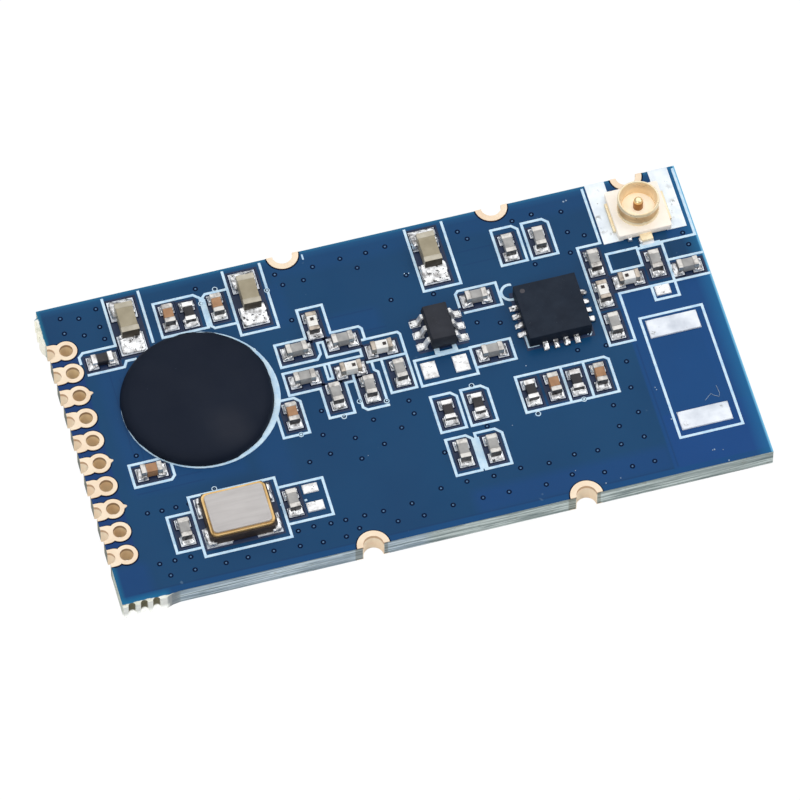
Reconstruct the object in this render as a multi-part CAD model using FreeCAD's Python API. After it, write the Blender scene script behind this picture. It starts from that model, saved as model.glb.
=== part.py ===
import FreeCAD, Part
import math
import os

from FreeCAD import Vector

# Wireless transceiver module, in millimetres. The origin is the centre of the board's underside. +X runs
# along the board from the row of edge pads to the antenna connector, +Y runs to the back edge, +Z is up.

# Board
board_length = 31.0
board_width = 16.4
board_thickness = 1.0

# Copper lands, solder and printed legend
land_thickness = 0.04
wall_plating = 0.03
legend_thickness = 0.02
legend_width = 0.125

# Row of keyhole pads at the left edge, each with a plated hole and a plated half hole
edge_pad_count = 10
edge_pad_pitch = 1.27
edge_hole_radius = 0.32
edge_hole_inset = 0.84
edge_ring_width = 0.2
edge_half_hole_radius = 0.3
edge_lobe_radius = 0.47
edge_lobe_inset = 0.25

# Plated half holes in the long edges
side_hole_pitch = 10.16
side_hole_radius = 0.48
side_ring_width = 0.29

# What is left of the break-off tabs, with the row of small holes they were broken along
tab_reach = 0.22
front_tab_length = 2.0
front_tab_runout = 0.7
back_tab_inset = 0.35
bite_radius = 0.18
bite_pitch = 0.58

# Small and large chip parts
small_chip_length = 1.0
small_chip_width = 0.5
small_chip_height = 0.5
resistor_height = 0.37
small_land_length = 0.5
small_land_toe = 0.22
small_land_margin = 0.1
large_chip_length = 1.6
large_chip_width = 0.8
large_chip_height = 0.8
large_land_length = 1.1
large_land_toe = 0.72
large_land_margin = 0.23
terminal_length = 0.23
terminal_wall = 0.02

# Epoxy glob over the bonded die, and the printed circle round it
glob_radius = 3.56
glob_height = 0.94
glob_circle_radius = 3.66
# Outline of its side from the rim to the crown, as shares of its radius and height
glob_outline = [(1, 0), (0.99, 0.22), (0.95, 0.43), (0.86, 0.62), (0.55, 0.86), (0, 1)]

# Flat no-lead radio chip
radio_size = 3.0
radio_height = 0.75
radio_pitch = 0.5
radio_terminals_per_side = 4
radio_terminal_width = 0.24
radio_terminal_depth = 0.35
radio_terminal_height = 0.2
radio_land_toe = 0.24

# Six-lead switch
switch_length = 2.0
switch_width = 1.25
switch_height = 0.9
switch_standoff = 0.06
switch_draft = 0.06
switch_pitch = 0.65
switch_lead_width = 0.24
switch_lead_thickness = 0.12
switch_lead_reach = 0.5
switch_foot_length = 0.26
switch_land_toe = 0.12

# Crystal in its ceramic case
crystal_length = 3.2
crystal_width = 2.5
crystal_base_height = 0.5
crystal_notch_radius = 0.16
crystal_ring_margin = 0.08
crystal_ring_height = 0.15
crystal_ring_corner = 0.32
crystal_lid_margin = 0.13
crystal_lid_height = 0.08
crystal_land_length = 1.2
crystal_land_width = 1.05
crystal_land_toe = 0.2

# Coaxial antenna connector
coax_base_size = 2.6
coax_base_height = 0.35
coax_base_corner = 0.1
coax_height = 1.25
coax_lip_radius = 1.0
coax_lip_height = 0.2
coax_flare_radius = 0.9
coax_flare_height = 0.3
coax_groove_radius = 0.87
coax_wall = 0.1
coax_pin_radius = 0.24
coax_pin_drop = 0.1
coax_strap_thickness = 0.15
coax_tab_length = 1.6
coax_tab_reach = 0.13
coax_tail_width = 0.6
coax_tail_reach = 0.35
coax_land_width = 0.95
coax_land_toe = 0.72

# Places on the board: shares, in percent, of its length from the left edge and of its width from the
# front edge, and the way the part lies
ALONG_X = 0
ALONG_Y = 90

glob_place = (20.0, 59.1)
crystal_place = (20.3, 19.2)
switch_place = (57.6, 63.4)
radio_place = (74.8, 60.4)
pin_mark_place = (69.8, 70.7)
coax_place = (92.32, 87.07)
side_pads_middle = 54.7

large_capacitors = [
    (12.6, 88.1, ALONG_Y),
    (31.5, 88.1, ALONG_Y),
    (59.7, 88.4, ALONG_Y),
]
brown_capacitors = [
    (19.0, 87.8, ALONG_Y),
    (26.5, 87.6, ALONG_Y),
    (32.5, 46.8, ALONG_Y),
    (9.8, 39.3, ALONG_X),
    (71.6, 36.8, ALONG_Y),
    (78.7, 36.5, ALONG_Y),
]
resistors = [
    (7.5, 78.7, ALONG_X),
    (22.1, 87.4, ALONG_Y),
    (55.1, 36.3, ALONG_Y),
    (59.7, 36.3, ALONG_Y),
    (68.0, 36.6, ALONG_Y),
    (75.0, 36.5, ALONG_Y),
]
inductors = [
    (39.5, 74.4, ALONG_Y),
    (48.4, 61.7, ALONG_X),
    (43.0, 57.1, ALONG_X),
    (83.2, 62.9, ALONG_Y),
    (87.6, 65.6, ALONG_X),
]
grey_capacitors = [
    (12.0, 17.9, ALONG_Y),
    (28.7, 19.1, ALONG_Y),
    (36.0, 67.1, ALONG_X),
    (43.1, 67.0, ALONG_X),
    (35.9, 57.5, ALONG_X),
    (39.7, 49.9, ALONG_Y),
    (44.9, 49.7, ALONG_Y),
    (50.0, 52.7, ALONG_Y),
    (64.5, 71.0, ALONG_X),
    (64.3, 52.3, ALONG_X),
    (55.4, 22.2, ALONG_Y),
    (59.9, 21.6, ALONG_Y),
    (71.7, 85.2, ALONG_Y),
    (76.5, 85.3, ALONG_Y),
    (83.4, 73.7, ALONG_Y),
    (83.3, 51.7, ALONG_Y),
    (92.3, 69.0, ALONG_Y),
    (96.8, 65.4, ALONG_X),
]

# Tinned lands with nothing on them: place, length along X and width along Y
bare_lands = [
    (31.8, 22.6, 0.72, 0.48),
    (31.8, 16.6, 0.8, 0.52),
    (54.4, 51.4, 0.7, 0.9),
    (59.3, 51.4, 0.7, 0.9),
    (92.1, 60.0, 0.72, 0.54),
    (91.9, 48.1, 2.45, 1.0),
    (91.9, 16.4, 2.45, 1.0),
]

# Centre lines of the printed legend, at the same shares of the board
legend_lines = [
    [(10.1, 98.8), (10.1, 82.9), (5.0, 82.9), (4.3, 81.7), (4.3, 79.6)],
    [(5.0, 75.3), (10.5, 75.3), (11.0, 77.1), (12.4, 77.1)],
    [(15.7, 98.8), (15.7, 81.4)],
    [(17.3, 81.9), (17.3, 93.6), (23.5, 93.6), (24.4, 92.1), (24.4, 81.9), (17.3, 81.9)],
    [(28.8, 81.2), (25.3, 81.2), (24.8, 82.3), (24.8, 92.1), (25.3, 93.0), (28.8, 93.0)],
    [(28.8, 98.8), (28.8, 76.8), (34.6, 76.8), (34.6, 98.8)],
    [(37.9, 71.0), (37.9, 80.8), (41.8, 80.8), (41.8, 71.0), (46.1, 71.0), (46.5, 70.1), (46.5, 66.3)],
    [(37.9, 71.0), (33.1, 71.0), (33.1, 63.3), (38.7, 63.3), (39.4, 64.9), (39.4, 68.6), (40.2, 68.6)],
    [(40.2, 68.6), (40.2, 63.3), (45.3, 63.3), (45.3, 61.2), (33.0, 61.2), (33.0, 53.7), (37.8, 53.7)],
    [(46.1, 66.3), (51.5, 66.3), (51.8, 65.5), (51.8, 47.0), (47.9, 47.0), (47.9, 58.7)],
    [(45.8, 58.7), (51.8, 58.7)],
    [(39.4, 61.2), (39.4, 56.1), (40.1, 56.1), (40.1, 61.2)],
    [(37.8, 53.7), (37.8, 43.5), (41.7, 43.5), (41.7, 53.7), (43.1, 53.7)],
    [(43.1, 55.5), (43.1, 44.5), (43.7, 43.4), (46.9, 43.4)],
    [(46.4, 58.5), (46.4, 55.8), (46.9, 54.9), (46.9, 45.1)],
    [(31.0, 52.7), (33.5, 52.7), (34.3, 51.2), (34.3, 40.5), (30.3, 40.5), (30.3, 48.2)],
    [(11.3, 43.2), (6.8, 43.2), (6.8, 35.7), (12.4, 35.7), (13.0, 36.9), (13.0, 40.5)],
    [(13.9, 23.9), (10.0, 23.9), (10.0, 11.9), (13.9, 11.9)],
    [(13.9, 28.7), (27.1, 28.7), (27.1, 8.7), (13.9, 8.7), (13.9, 28.7)],
    [(27.1, 25.2), (34.0, 25.2), (34.0, 12.8), (27.1, 12.8)],
    [(57.3, 98.8), (57.3, 77.4), (63.1, 77.4), (63.1, 98.8)],
    [(61.7, 69.8), (61.7, 74.1), (62.2, 75.0), (68.1, 75.0), (68.1, 67.4), (62.3, 67.4)],
    [(69.9, 54.9), (69.9, 51.6), (71.3, 51.6)],
    [(69.9, 79.9), (69.9, 92.3), (73.1, 92.3), (73.9, 90.9), (73.9, 79.9), (69.9, 79.9)],
    [(74.7, 79.9), (74.7, 92.3), (77.9, 92.3), (78.7, 90.9), (78.7, 79.9), (74.7, 79.9)],
    [(85.3, 98.8), (85.3, 80.0), (81.7, 80.0), (81.7, 45.9), (85.6, 45.9), (85.6, 62.1), (99.7, 62.1)],
    [(99.6, 98.8), (99.6, 75.8), (94.2, 75.8)],
    [(90.4, 75.8), (85.6, 75.8), (85.6, 69.6), (90.4, 69.6)],
    [(90.4, 69.6), (90.4, 75.3), (94.3, 75.3), (94.3, 57.2), (90.6, 57.2), (90.6, 62.1)],
    [(94.3, 69.4), (99.7, 69.4)],
    [(87.3, 52.4), (97.0, 52.4), (97.0, 11.2), (87.3, 11.2), (87.3, 52.4)],
    [(52.6, 55.6), (61.3, 55.6), (61.3, 46.8), (52.6, 46.8), (52.6, 55.6)],
    [(56.2, 58.5), (56.2, 56.4), (59.0, 56.4), (59.0, 58.5)],
    [(61.3, 55.8), (67.5, 55.8), (67.5, 48.8), (61.3, 48.8)],
    [(53.2, 30.5), (53.2, 42.7), (56.3, 42.7), (57.1, 41.2), (57.1, 30.5), (53.2, 30.5)],
    [(57.9, 30.5), (57.9, 42.7), (61.0, 42.7), (61.9, 41.2), (61.9, 30.5), (57.9, 30.5)],
    [(66.4, 30.6), (66.4, 42.8), (80.2, 42.8), (80.8, 41.8), (80.8, 30.6), (66.4, 30.6)],
    [(73.4, 42.8), (73.4, 30.6)],
    [(76.9, 42.8), (76.9, 30.6)],
    [(53.4, 15.7), (53.4, 27.9), (56.5, 27.9), (57.3, 26.5), (57.3, 15.7), (53.4, 15.7)],
    [(57.9, 15.7), (57.9, 27.9), (61.0, 27.9), (61.9, 26.2), (61.9, 15.7), (57.9, 15.7)],
]

# Levels and edges worked out from the sizes above
left_edge = -board_length / 2
front_edge = -board_width / 2
back_edge = board_width / 2
board_top = board_thickness
land_top = board_top + land_thickness


def place(across, along):
    """A place on the board's top, from its shares of the length and width in percent."""
    return Vector(left_edge + board_length * across / 100, front_edge + board_width * along / 100, 0)


def block(x_size, y_size, z_low, z_high, x=0.0, y=0.0):
    """A block centred on x, y between two levels."""
    return Part.makeBox(x_size, y_size, z_high - z_low, Vector(x - x_size / 2, y - y_size / 2, z_low))


def rod(radius, z_low, z_high, x=0.0, y=0.0):
    """An upright round bar between two levels."""
    return Part.makeCylinder(radius, z_high - z_low, Vector(x, y, z_low))


def prism(points, axis):
    """A closed outline of 3-D points, drawn out along a vector."""
    corners = [Vector(*point) for point in points]
    return Part.Face(Part.makePolygon(corners + corners[:1])).extrude(axis)


def spun(points):
    """A solid of revolution about Z from a closed outline of 3-D points with no Y."""
    corners = [Vector(*point) for point in points]
    return Part.Face(Part.makePolygon(corners + corners[:1])).revolve(Vector(0, 0, 0), Vector(0, 0, 1), 360)


def eight_sided(apothem, z_low, z_high, x=0.0):
    """An upright eight-sided bar with its flats at a distance from its axis."""
    corner = apothem / math.cos(math.pi / 8)
    turns = [math.pi / 8 + math.pi / 4 * i for i in range(8)]
    outline = [(x + corner * math.cos(turn), corner * math.sin(turn), z_low) for turn in turns]
    return prism(outline, Vector(0, 0, z_high - z_low))


def rounded_plate(x_size, y_size, corner, z_low, z_high, x=0.0, y=0.0):
    """A flat plate with rounded upright corners."""
    plate = block(x_size, y_size, z_low, z_high, x, y)
    upright = [e for e in plate.Edges if abs(e.tangentAt(e.FirstParameter).z) > 0.99]
    return plate.makeFillet(corner, upright)


def turned(shape, angle, where):
    """A copy of a shape made at the origin, turned about Z and moved to its place."""
    copy = shape.copy()
    copy.rotate(Vector(0, 0, 0), Vector(0, 0, 1), angle)
    copy.translate(where)
    return copy


def save(name, solids):
    """Write one node, as one solid or as a group of separate solids."""
    shape = solids[0] if len(solids) == 1 else Part.makeCompound(solids)
    shape.exportStep(os.path.join("parts", name + ".step"))


def keyhole(z_low, z_high):
    """Top land of one edge pad: a ring round the hole and a lobe cut off at the board's edge."""
    ring = rod(edge_hole_radius + edge_ring_width, z_low, z_high, edge_hole_inset)
    lobe = rod(edge_lobe_radius, z_low, z_high, edge_lobe_inset)
    root = block(edge_lobe_inset, 2 * edge_lobe_radius, z_low, z_high, edge_lobe_inset / 2)
    outside = block(edge_lobe_radius, 4 * edge_lobe_radius, z_low, z_high, -edge_lobe_radius / 2)
    return ring.fuse([lobe, root]).cut(outside).removeSplitter()


def edge_pad_seat():
    """What one edge pad takes out of the board: its underside land and the hidden outside of its two walls.

    The walls are round inside. Their outside has eight flats, since nothing shows it.
    """
    length = edge_hole_inset + edge_hole_radius + edge_ring_width
    land = block(length, 2 * edge_lobe_radius, 0, land_thickness, length / 2)
    barrel = eight_sided(edge_hole_radius + wall_plating, 0, board_top, edge_hole_inset)
    wall = eight_sided(edge_half_hole_radius + wall_plating, 0, board_top)
    return land.fuse([barrel, wall])


def edge_pad():
    """One plated edge pad: lands on both faces, joined by the hole's barrel and the half hole's wall."""
    outside = block(edge_lobe_radius, 4 * edge_lobe_radius, 0, land_top, -edge_lobe_radius / 2)
    bores = [
        rod(edge_hole_radius, 0, land_top, edge_hole_inset),
        rod(edge_half_hole_radius, 0, land_top),
        outside,
    ]
    return keyhole(board_top, land_top).fuse(edge_pad_seat()).cut(bores).removeSplitter()


def side_pad_seat():
    """What one plated half hole takes out of the board: its underside ring and its wall's hidden outside."""
    ring = rod(side_hole_radius + side_ring_width, 0, land_thickness)
    return ring.fuse(eight_sided(side_hole_radius + wall_plating, 0, board_top))


def side_pad():
    """One plated half hole of a long edge, open towards -Y, with a half ring on both faces."""
    ring_radius = side_hole_radius + side_ring_width
    ring = rod(ring_radius, board_top, land_top)
    outside = block(3 * ring_radius, ring_radius, 0, land_top, 0, -ring_radius / 2)
    bores = [rod(side_hole_radius, 0, land_top), outside]
    return ring.fuse(side_pad_seat()).cut(bores).removeSplitter()


def edge_pad_places():
    """Where the edge pads start, at the left edge."""
    first = -edge_pad_pitch * (edge_pad_count - 1) / 2
    return [Vector(left_edge, first + edge_pad_pitch * i, 0) for i in range(edge_pad_count)]


def side_pad_places():
    """Centres and turns of the half holes: two in each long edge, and one behind the connector."""
    middle = place(side_pads_middle, 0).x
    places = []
    for x in (middle - side_hole_pitch / 2, middle + side_hole_pitch / 2):
        places.append((Vector(x, front_edge, 0), 0))
        places.append((Vector(x, back_edge, 0), 180))
    places.append((Vector(place(*coax_place).x, back_edge, 0), 180))
    return places


def front_tab():
    """Broken tab at the front left corner, with its row of half holes."""
    start = left_edge
    end = left_edge + front_tab_length
    low = front_edge - tab_reach
    outline = [
        (start, front_edge, 0),
        (start, low, 0),
        (end, low + tab_reach / 8, 0),
        (end + front_tab_runout / 2, front_edge - tab_reach / 4, 0),
        (end + front_tab_runout, front_edge, 0),
    ]
    tab = prism(outline, Vector(0, 0, board_thickness))
    first = left_edge + 0.72 * bite_pitch
    bites = [rod(bite_radius, 0, board_thickness, first + i * bite_pitch, low) for i in range(3)]
    return tab, bites


def back_tab():
    """Broken tab on the left edge, between the back corner and the last edge pad."""
    high = back_edge - back_tab_inset
    low = edge_pad_places()[-1].y + edge_lobe_radius + legend_width / 2
    span = high - low
    outline = [
        (left_edge, high, 0),
        (left_edge - 0.8 * tab_reach, high - 0.05 * span, 0),
        (left_edge - tab_reach, low + 0.4 * span, 0),
        (left_edge - 0.7 * tab_reach, low + 0.15 * span, 0),
        (left_edge, low, 0),
    ]
    tab = prism(outline, Vector(0, 0, board_thickness))
    shares = (0.8, 0.45)
    bites = [rod(bite_radius, 0, board_thickness, left_edge - tab_reach, low + s * span) for s in shares]
    return tab, bites


def board():
    """Bare board: a plain blank with its broken tabs, less every hole and recess of its plating."""
    blank = block(board_length, board_width, 0, board_top)
    tabs = []
    bites = []
    for tab, holes in (front_tab(), back_tab()):
        tabs.append(tab)
        bites.extend(holes)
    seat = edge_pad_seat()
    cuts = [turned(seat, 0, where) for where in edge_pad_places()]
    seat = side_pad_seat()
    cuts += [turned(seat, turn, where) for where, turn in side_pad_places()]
    return blank.fuse(tabs).removeSplitter().cut(bites + cuts).removeSplitter()


def chip(length, width, height):
    """Chip part lying along X: a ceramic body with a slightly thicker metal terminal round each end."""
    body = block(
        length - 2 * terminal_wall,
        width - 2 * terminal_wall,
        land_top + terminal_wall,
        land_top + height - terminal_wall,
    )
    offset = (length - terminal_length) / 2
    ends = [block(terminal_length, width, land_top, land_top + height, s * offset) for s in (-1, 1)]
    return body.fuse(ends).removeSplitter()


def chip_lands(length, width, land_length, toe, side):
    """The two lands of a chip part lying along X."""
    offset = length / 2 + toe - land_length / 2
    return [block(land_length, width + 2 * side, board_top, land_top, s * offset) for s in (-1, 1)]


def chip_solder(length, width, height, toe):
    """Solder that climbs each end face of a chip part lying along X."""
    foot = toe * 0.9
    rise = height * 0.6
    wedges = []
    for s in (-1, 1):
        end = s * length / 2
        outline = [
            (end, -width / 2, land_top),
            (end + s * foot, -width / 2, land_top),
            (end + s * foot * 0.35, -width / 2, land_top + rise * 0.35),
            (end, -width / 2, land_top + rise),
        ]
        wedges.append(prism(outline, Vector(0, width, 0)))
    return wedges


def glob():
    """Dome of epoxy with a steep wall, a round shoulder and a low crown."""
    side = [(share * glob_radius, 0, board_top + rise * glob_height) for share, rise in glob_outline]
    dome = spun(side + [(0, 0, board_top)])
    dome.translate(place(*glob_place))
    return dome


def radio_sites():
    """Offset along one side of each radio terminal."""
    first = -radio_pitch * (radio_terminals_per_side - 1) / 2
    return [first + radio_pitch * i for i in range(radio_terminals_per_side)]


def radio_terminal():
    """One terminal of the side that faces +X, flush with the side and the underside."""
    inner = radio_size / 2 - radio_terminal_depth / 2
    return block(
        radio_terminal_depth, radio_terminal_width, land_top, land_top + radio_terminal_height, inner
    )


def radio_chip():
    """Moulded body and its terminals, with their lands and solder."""
    where = place(*radio_place)
    toe_middle = radio_size / 2 + radio_land_toe / 2
    terminals = []
    lands = []
    solder = []
    for turn in (0, 90, 180, 270):
        for offset in radio_sites():
            pin = radio_terminal()
            land = block(
                radio_terminal_depth + radio_land_toe,
                radio_terminal_width,
                board_top,
                land_top,
                toe_middle - radio_terminal_depth / 2,
            )
            side = radio_size / 2
            half = radio_terminal_width / 2
            wedge = prism(
                [
                    (side, -half, land_top),
                    (side + 0.85 * radio_land_toe, -half, land_top),
                    (side, -half, land_top + radio_terminal_height),
                ],
                Vector(0, radio_terminal_width, 0),
            )
            for shape, group in ((pin, terminals), (land, lands), (wedge, solder)):
                shape.translate(Vector(0, offset, 0))
                group.append(turned(shape, turn, where))
    body = block(radio_size, radio_size, land_top, land_top + radio_height)
    body.translate(where)
    return body.cut(terminals), terminals, lands, solder


def switch_body():
    """Moulded body of the switch, widest where the leads leave it."""
    low = land_top + switch_standoff
    levels = [
        (low, switch_draft),
        (low + 0.5 * (switch_height - switch_standoff), 0),
        (land_top + switch_height, switch_draft),
    ]
    outlines = []
    for z, draft in levels:
        x = switch_width / 2 - draft
        y = switch_length / 2 - draft
        corners = [Vector(x, y, z), Vector(-x, y, z), Vector(-x, -y, z), Vector(x, -y, z), Vector(x, y, z)]
        outlines.append(Part.makePolygon(corners))
    return Part.makeLoft(outlines, True, True)


def switch_lead():
    """One gull-wing lead that leaves the +X side at half height and ends in a flat foot."""
    middle = land_top + switch_standoff + 0.5 * (switch_height - switch_standoff)
    root = switch_width / 2 - switch_draft
    tip = switch_width / 2 + switch_lead_reach
    heel = tip - switch_foot_length
    thick = switch_lead_thickness
    elbow = root + (heel - root) * 0.35
    half = switch_lead_width / 2
    outline = [
        (root, -half, middle - thick / 2),
        (elbow, -half, middle - thick / 2),
        (heel - thick / 2, -half, land_top),
        (tip, -half, land_top),
        (tip, -half, land_top + thick),
        (heel + thick / 2, -half, land_top + thick),
        (elbow + thick / 2, -half, middle + thick / 2),
        (root, -half, middle + thick / 2),
    ]
    return prism(outline, Vector(0, switch_lead_width, 0))


def switch():
    """The six-lead switch, its leads and its lands."""
    where = place(*switch_place)
    leads = []
    lands = []
    tip = switch_width / 2 + switch_lead_reach + switch_land_toe
    land_length = switch_foot_length + 2 * switch_land_toe
    for turn in (0, 180):
        for offset in (-switch_pitch, 0, switch_pitch):
            lead = switch_lead()
            lead.translate(Vector(0, offset, 0))
            leads.append(turned(lead, turn, where))
            land = block(
                land_length, switch_lead_width * 1.5, board_top, land_top, tip - land_length / 2, offset
            )
            lands.append(turned(land, turn, where))
    body = switch_body()
    body.translate(where)
    return body.cut(leads), leads, lands


def crystal():
    """Ceramic case with notched corners, the gold seal ring on it and the lid on that."""
    where = place(*crystal_place)
    base_top = land_top + crystal_base_height
    ring_top = base_top + crystal_ring_height
    base = block(crystal_length, crystal_width, land_top, base_top)
    corners = [(x * crystal_length / 2, y * crystal_width / 2) for x in (-1, 1) for y in (-1, 1)]
    base = base.cut([rod(crystal_notch_radius, land_top, base_top, x, y) for x, y in corners])
    ring_length = crystal_length - 2 * crystal_ring_margin
    ring_width = crystal_width - 2 * crystal_ring_margin
    ring = rounded_plate(ring_length, ring_width, crystal_ring_corner, base_top, ring_top)
    lid = rounded_plate(
        ring_length - 2 * crystal_lid_margin,
        ring_width - 2 * crystal_lid_margin,
        crystal_ring_corner - crystal_lid_margin,
        ring_top,
        ring_top + crystal_lid_height,
    )
    x_offset = crystal_length / 2 + crystal_land_toe - crystal_land_length / 2
    y_offset = crystal_width / 2 + crystal_land_toe / 2 - crystal_land_width / 2
    lands = []
    for x in (-x_offset, x_offset):
        for y in (-y_offset, y_offset):
            lands.append(block(crystal_land_length, crystal_land_width, board_top, land_top, x, y))
    for shape in [base, ring, lid] + lands:
        shape.translate(where)
    return base, ring, lid, lands


def coax_shell():
    """Ground shell: a turned barrel with a snap groove under its lip, and a tab out of each side."""
    base_top = land_top + coax_base_height
    top = land_top + coax_height
    lip_low = top - coax_lip_height
    bore = coax_groove_radius - coax_wall
    barrel = spun(
        [
            (bore, 0, base_top),
            (coax_lip_radius, 0, base_top),
            (coax_flare_radius, 0, base_top + coax_flare_height),
            (coax_groove_radius, 0, lip_low - coax_wall / 2),
            (coax_lip_radius, 0, lip_low),
            (coax_lip_radius, 0, top - coax_wall / 4),
            (coax_lip_radius - coax_wall / 4, 0, top),
            (coax_lip_radius - coax_wall, 0, top),
            (bore, 0, lip_low - coax_wall / 2),
        ]
    )
    leg_width = coax_lip_radius - bore
    inner = bore + leg_width / 2
    strap_top = land_top + coax_strap_thickness
    tab_end = coax_base_size / 2 + coax_tab_reach
    pieces = []
    for s in (-1, 1):
        pieces.append(block(leg_width, leg_width, land_top, base_top, s * inner))
        tab_middle = s * (bore + tab_end) / 2
        pieces.append(block(tab_end - bore, leg_width * 2, land_top, strap_top, tab_middle))
        outer = s * (coax_base_size / 2 + coax_tab_reach / 2)
        pieces.append(block(coax_tab_reach, coax_tab_length, land_top, strap_top, outer))
    return barrel.fuse(pieces).removeSplitter()


def coax_contact():
    """Signal contact: a domed pin and the tail that runs out under the front of the base."""
    top = land_top + coax_height - coax_pin_drop
    radius = coax_pin_radius
    pin = spun(
        [
            (0, 0, land_top),
            (radius, 0, land_top),
            (radius, 0, top - 0.9 * radius),
            (0.8 * radius, 0, top - 0.35 * radius),
            (0.35 * radius, 0, top),
            (0, 0, top),
        ]
    )
    length = coax_base_size / 2 + coax_tail_reach
    tail = block(coax_tail_width, length, land_top, land_top + coax_strap_thickness, 0, -length / 2)
    return pin.fuse(tail).removeSplitter()


def coax_base(shell, contact):
    """Moulded base, which fills the space round the shell's legs and the contact."""
    base = rounded_plate(
        coax_base_size, coax_base_size, coax_base_corner, land_top, land_top + coax_base_height
    )
    return base.cut([shell, contact])


def coax():
    """The antenna connector and its lands."""
    where = place(*coax_place)
    shell = coax_shell()
    contact = coax_contact()
    base = coax_base(shell, contact)
    x = coax_base_size / 2 + coax_land_toe - coax_land_width / 2
    low = -coax_base_size / 2
    length = back_edge - where.y - low
    lands = [block(coax_land_width, length, board_top, land_top, s * x, low + length / 2) for s in (-1, 1)]
    tail_y = -coax_base_size / 2 - coax_tail_reach / 2
    lands.append(block(coax_tail_width, 2 * coax_tail_reach, board_top, land_top, 0, tail_y))
    shapes = [base, shell, contact] + lands
    for shape in shapes:
        shape.translate(where)
    return base, shell, contact, lands


def beside(points, index, closed, offset):
    """The point beside one corner of a line, as far out as keeps both strokes the same width."""
    here = points[index]
    before = points[index - 1] if closed or index > 0 else None
    after = points[(index + 1) % len(points)] if closed or index + 1 < len(points) else None
    into = (here - before).normalize() if before else None
    out = (after - here).normalize() if after else None
    if into is None or out is None:
        along = into or out
        end = along * (legend_width / 2 if out is None else -legend_width / 2)
        return here + end + Vector(-along.y, along.x, 0) * offset
    bisector = Vector(-into.y - out.y, into.x + out.x, 0)
    return here + bisector * (offset / (1 + into.dot(out)))


def band(points):
    """One printed line of even width through its points, with mitred corners."""
    closed = points[0].distanceToPoint(points[-1]) < legend_width
    if closed:
        points = points[:-1]
    sides = []
    for offset in (legend_width / 2, -legend_width / 2):
        sides.append([beside(points, i, closed, offset) for i in range(len(points))])
    if closed:
        loops = [Part.makePolygon(side + side[:1]) for side in sides]
        inner, outer = sorted(loops, key=lambda loop: loop.Length)
        flat = Part.Face(outer).cut(Part.Face(inner))
    else:
        outline = sides[0] + sides[1][::-1]
        flat = Part.Face(Part.makePolygon(outline + outline[:1]))
    return printed(flat)


def ring_band(centre, radius):
    """One printed circle."""
    discs = [Part.Face(Part.Wire(Part.makeCircle(radius + s * legend_width / 2, centre))) for s in (1, -1)]
    return printed(discs[0].cut(discs[1]))


def printed(flat):
    """A flat outline at the origin's level, made into a layer of print on the board."""
    layer = flat.extrude(Vector(0, 0, legend_thickness))
    layer.translate(Vector(0, 0, board_top))
    return layer


def pin_mark():
    """Printed half circle beside the radio chip's first terminal."""
    centre = place(*pin_mark_place)
    size = 2 * radio_pitch
    cover = block(size, size, board_top, land_top, centre.x + 0.65 * size, centre.y)
    return ring_band(centre, 0.42 * size).cut(cover)


def legend(keep_clear):
    """All the printed lines, merged where they meet and cut back from what they run into."""
    bands = [ring_band(place(*glob_place), glob_circle_radius), pin_mark()]
    for line in legend_lines:
        bands.append(band([place(*point) for point in line]))
    return bands[0].fuse(bands[1:]).removeSplitter().cut(keep_clear).Solids


def small_lands(places, height):
    """Lands and solder of a group of small chips."""
    lands = []
    solder = []
    for across, along, turn in places:
        where = place(across, along)
        flats = chip_lands(
            small_chip_length, small_chip_width, small_land_length, small_land_toe, small_land_margin
        )
        lands += [turned(flat, turn, where) for flat in flats]
        wedges = chip_solder(small_chip_length, small_chip_width, height, small_land_toe)
        solder += [turned(wedge, turn, where) for wedge in wedges]
    return lands, solder


def large_lands():
    """Lands and solder of the large capacitors."""
    lands = []
    solder = []
    for across, along, turn in large_capacitors:
        where = place(across, along)
        flats = chip_lands(
            large_chip_length, large_chip_width, large_land_length, large_land_toe, large_land_margin
        )
        lands += [turned(flat, turn, where) for flat in flats]
        wedges = chip_solder(large_chip_length, large_chip_width, large_chip_height, large_land_toe / 2)
        solder += [turned(wedge, turn, where) for wedge in wedges]
    return lands, solder


os.makedirs("parts", exist_ok=True)

lands = [
    block(length, width, board_top, land_top, place(across, along).x, place(across, along).y)
    for across, along, length, width in bare_lands
]
solder = []
chips = []

# Chip parts, each a node of its own
small_groups = [
    ("brown_capacitor", brown_capacitors, small_chip_height),
    ("resistor", resistors, resistor_height),
    ("inductor", inductors, small_chip_height),
    ("grey_capacitor", grey_capacitors, small_chip_height),
]
for name, places, height in small_groups:
    flats, wedges = small_lands(places, height)
    lands += flats
    solder += wedges
    model = chip(small_chip_length, small_chip_width, height)
    for number, (across, along, turn) in enumerate(places, 1):
        part = turned(model, turn, place(across, along))
        chips.append(part)
        save(f"{name}_{number}", [part])

flats, wedges = large_lands()
lands += flats
solder += wedges
model = chip(large_chip_length, large_chip_width, large_chip_height)
for number, (across, along, turn) in enumerate(large_capacitors, 1):
    part = turned(model, turn, place(across, along))
    chips.append(part)
    save(f"large_capacitor_{number}", [part])

# Radio chip
body, terminals, flats, wedges = radio_chip()
lands += flats
solder += wedges
save("radio_body", [body])
save("radio_terminals", terminals)

# Switch
body, leads, flats = switch()
lands += flats
save("switch_body", [body])
save("switch_leads", leads)

# Crystal
base, ring, lid, flats = crystal()
lands += flats
save("crystal_base", [base])
save("crystal_seal_ring", [ring])
save("crystal_lid", [lid])

# Antenna connector
base, shell, contact, flats = coax()
lands += flats
save("coax_base", [base])
save("coax_shell", [shell])
save("coax_contact", [contact])

# Epoxy glob, which flows round whatever stands in its way
dome = glob().cut(lands + chips + solder)
save("epoxy_glob", [dome])

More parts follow.
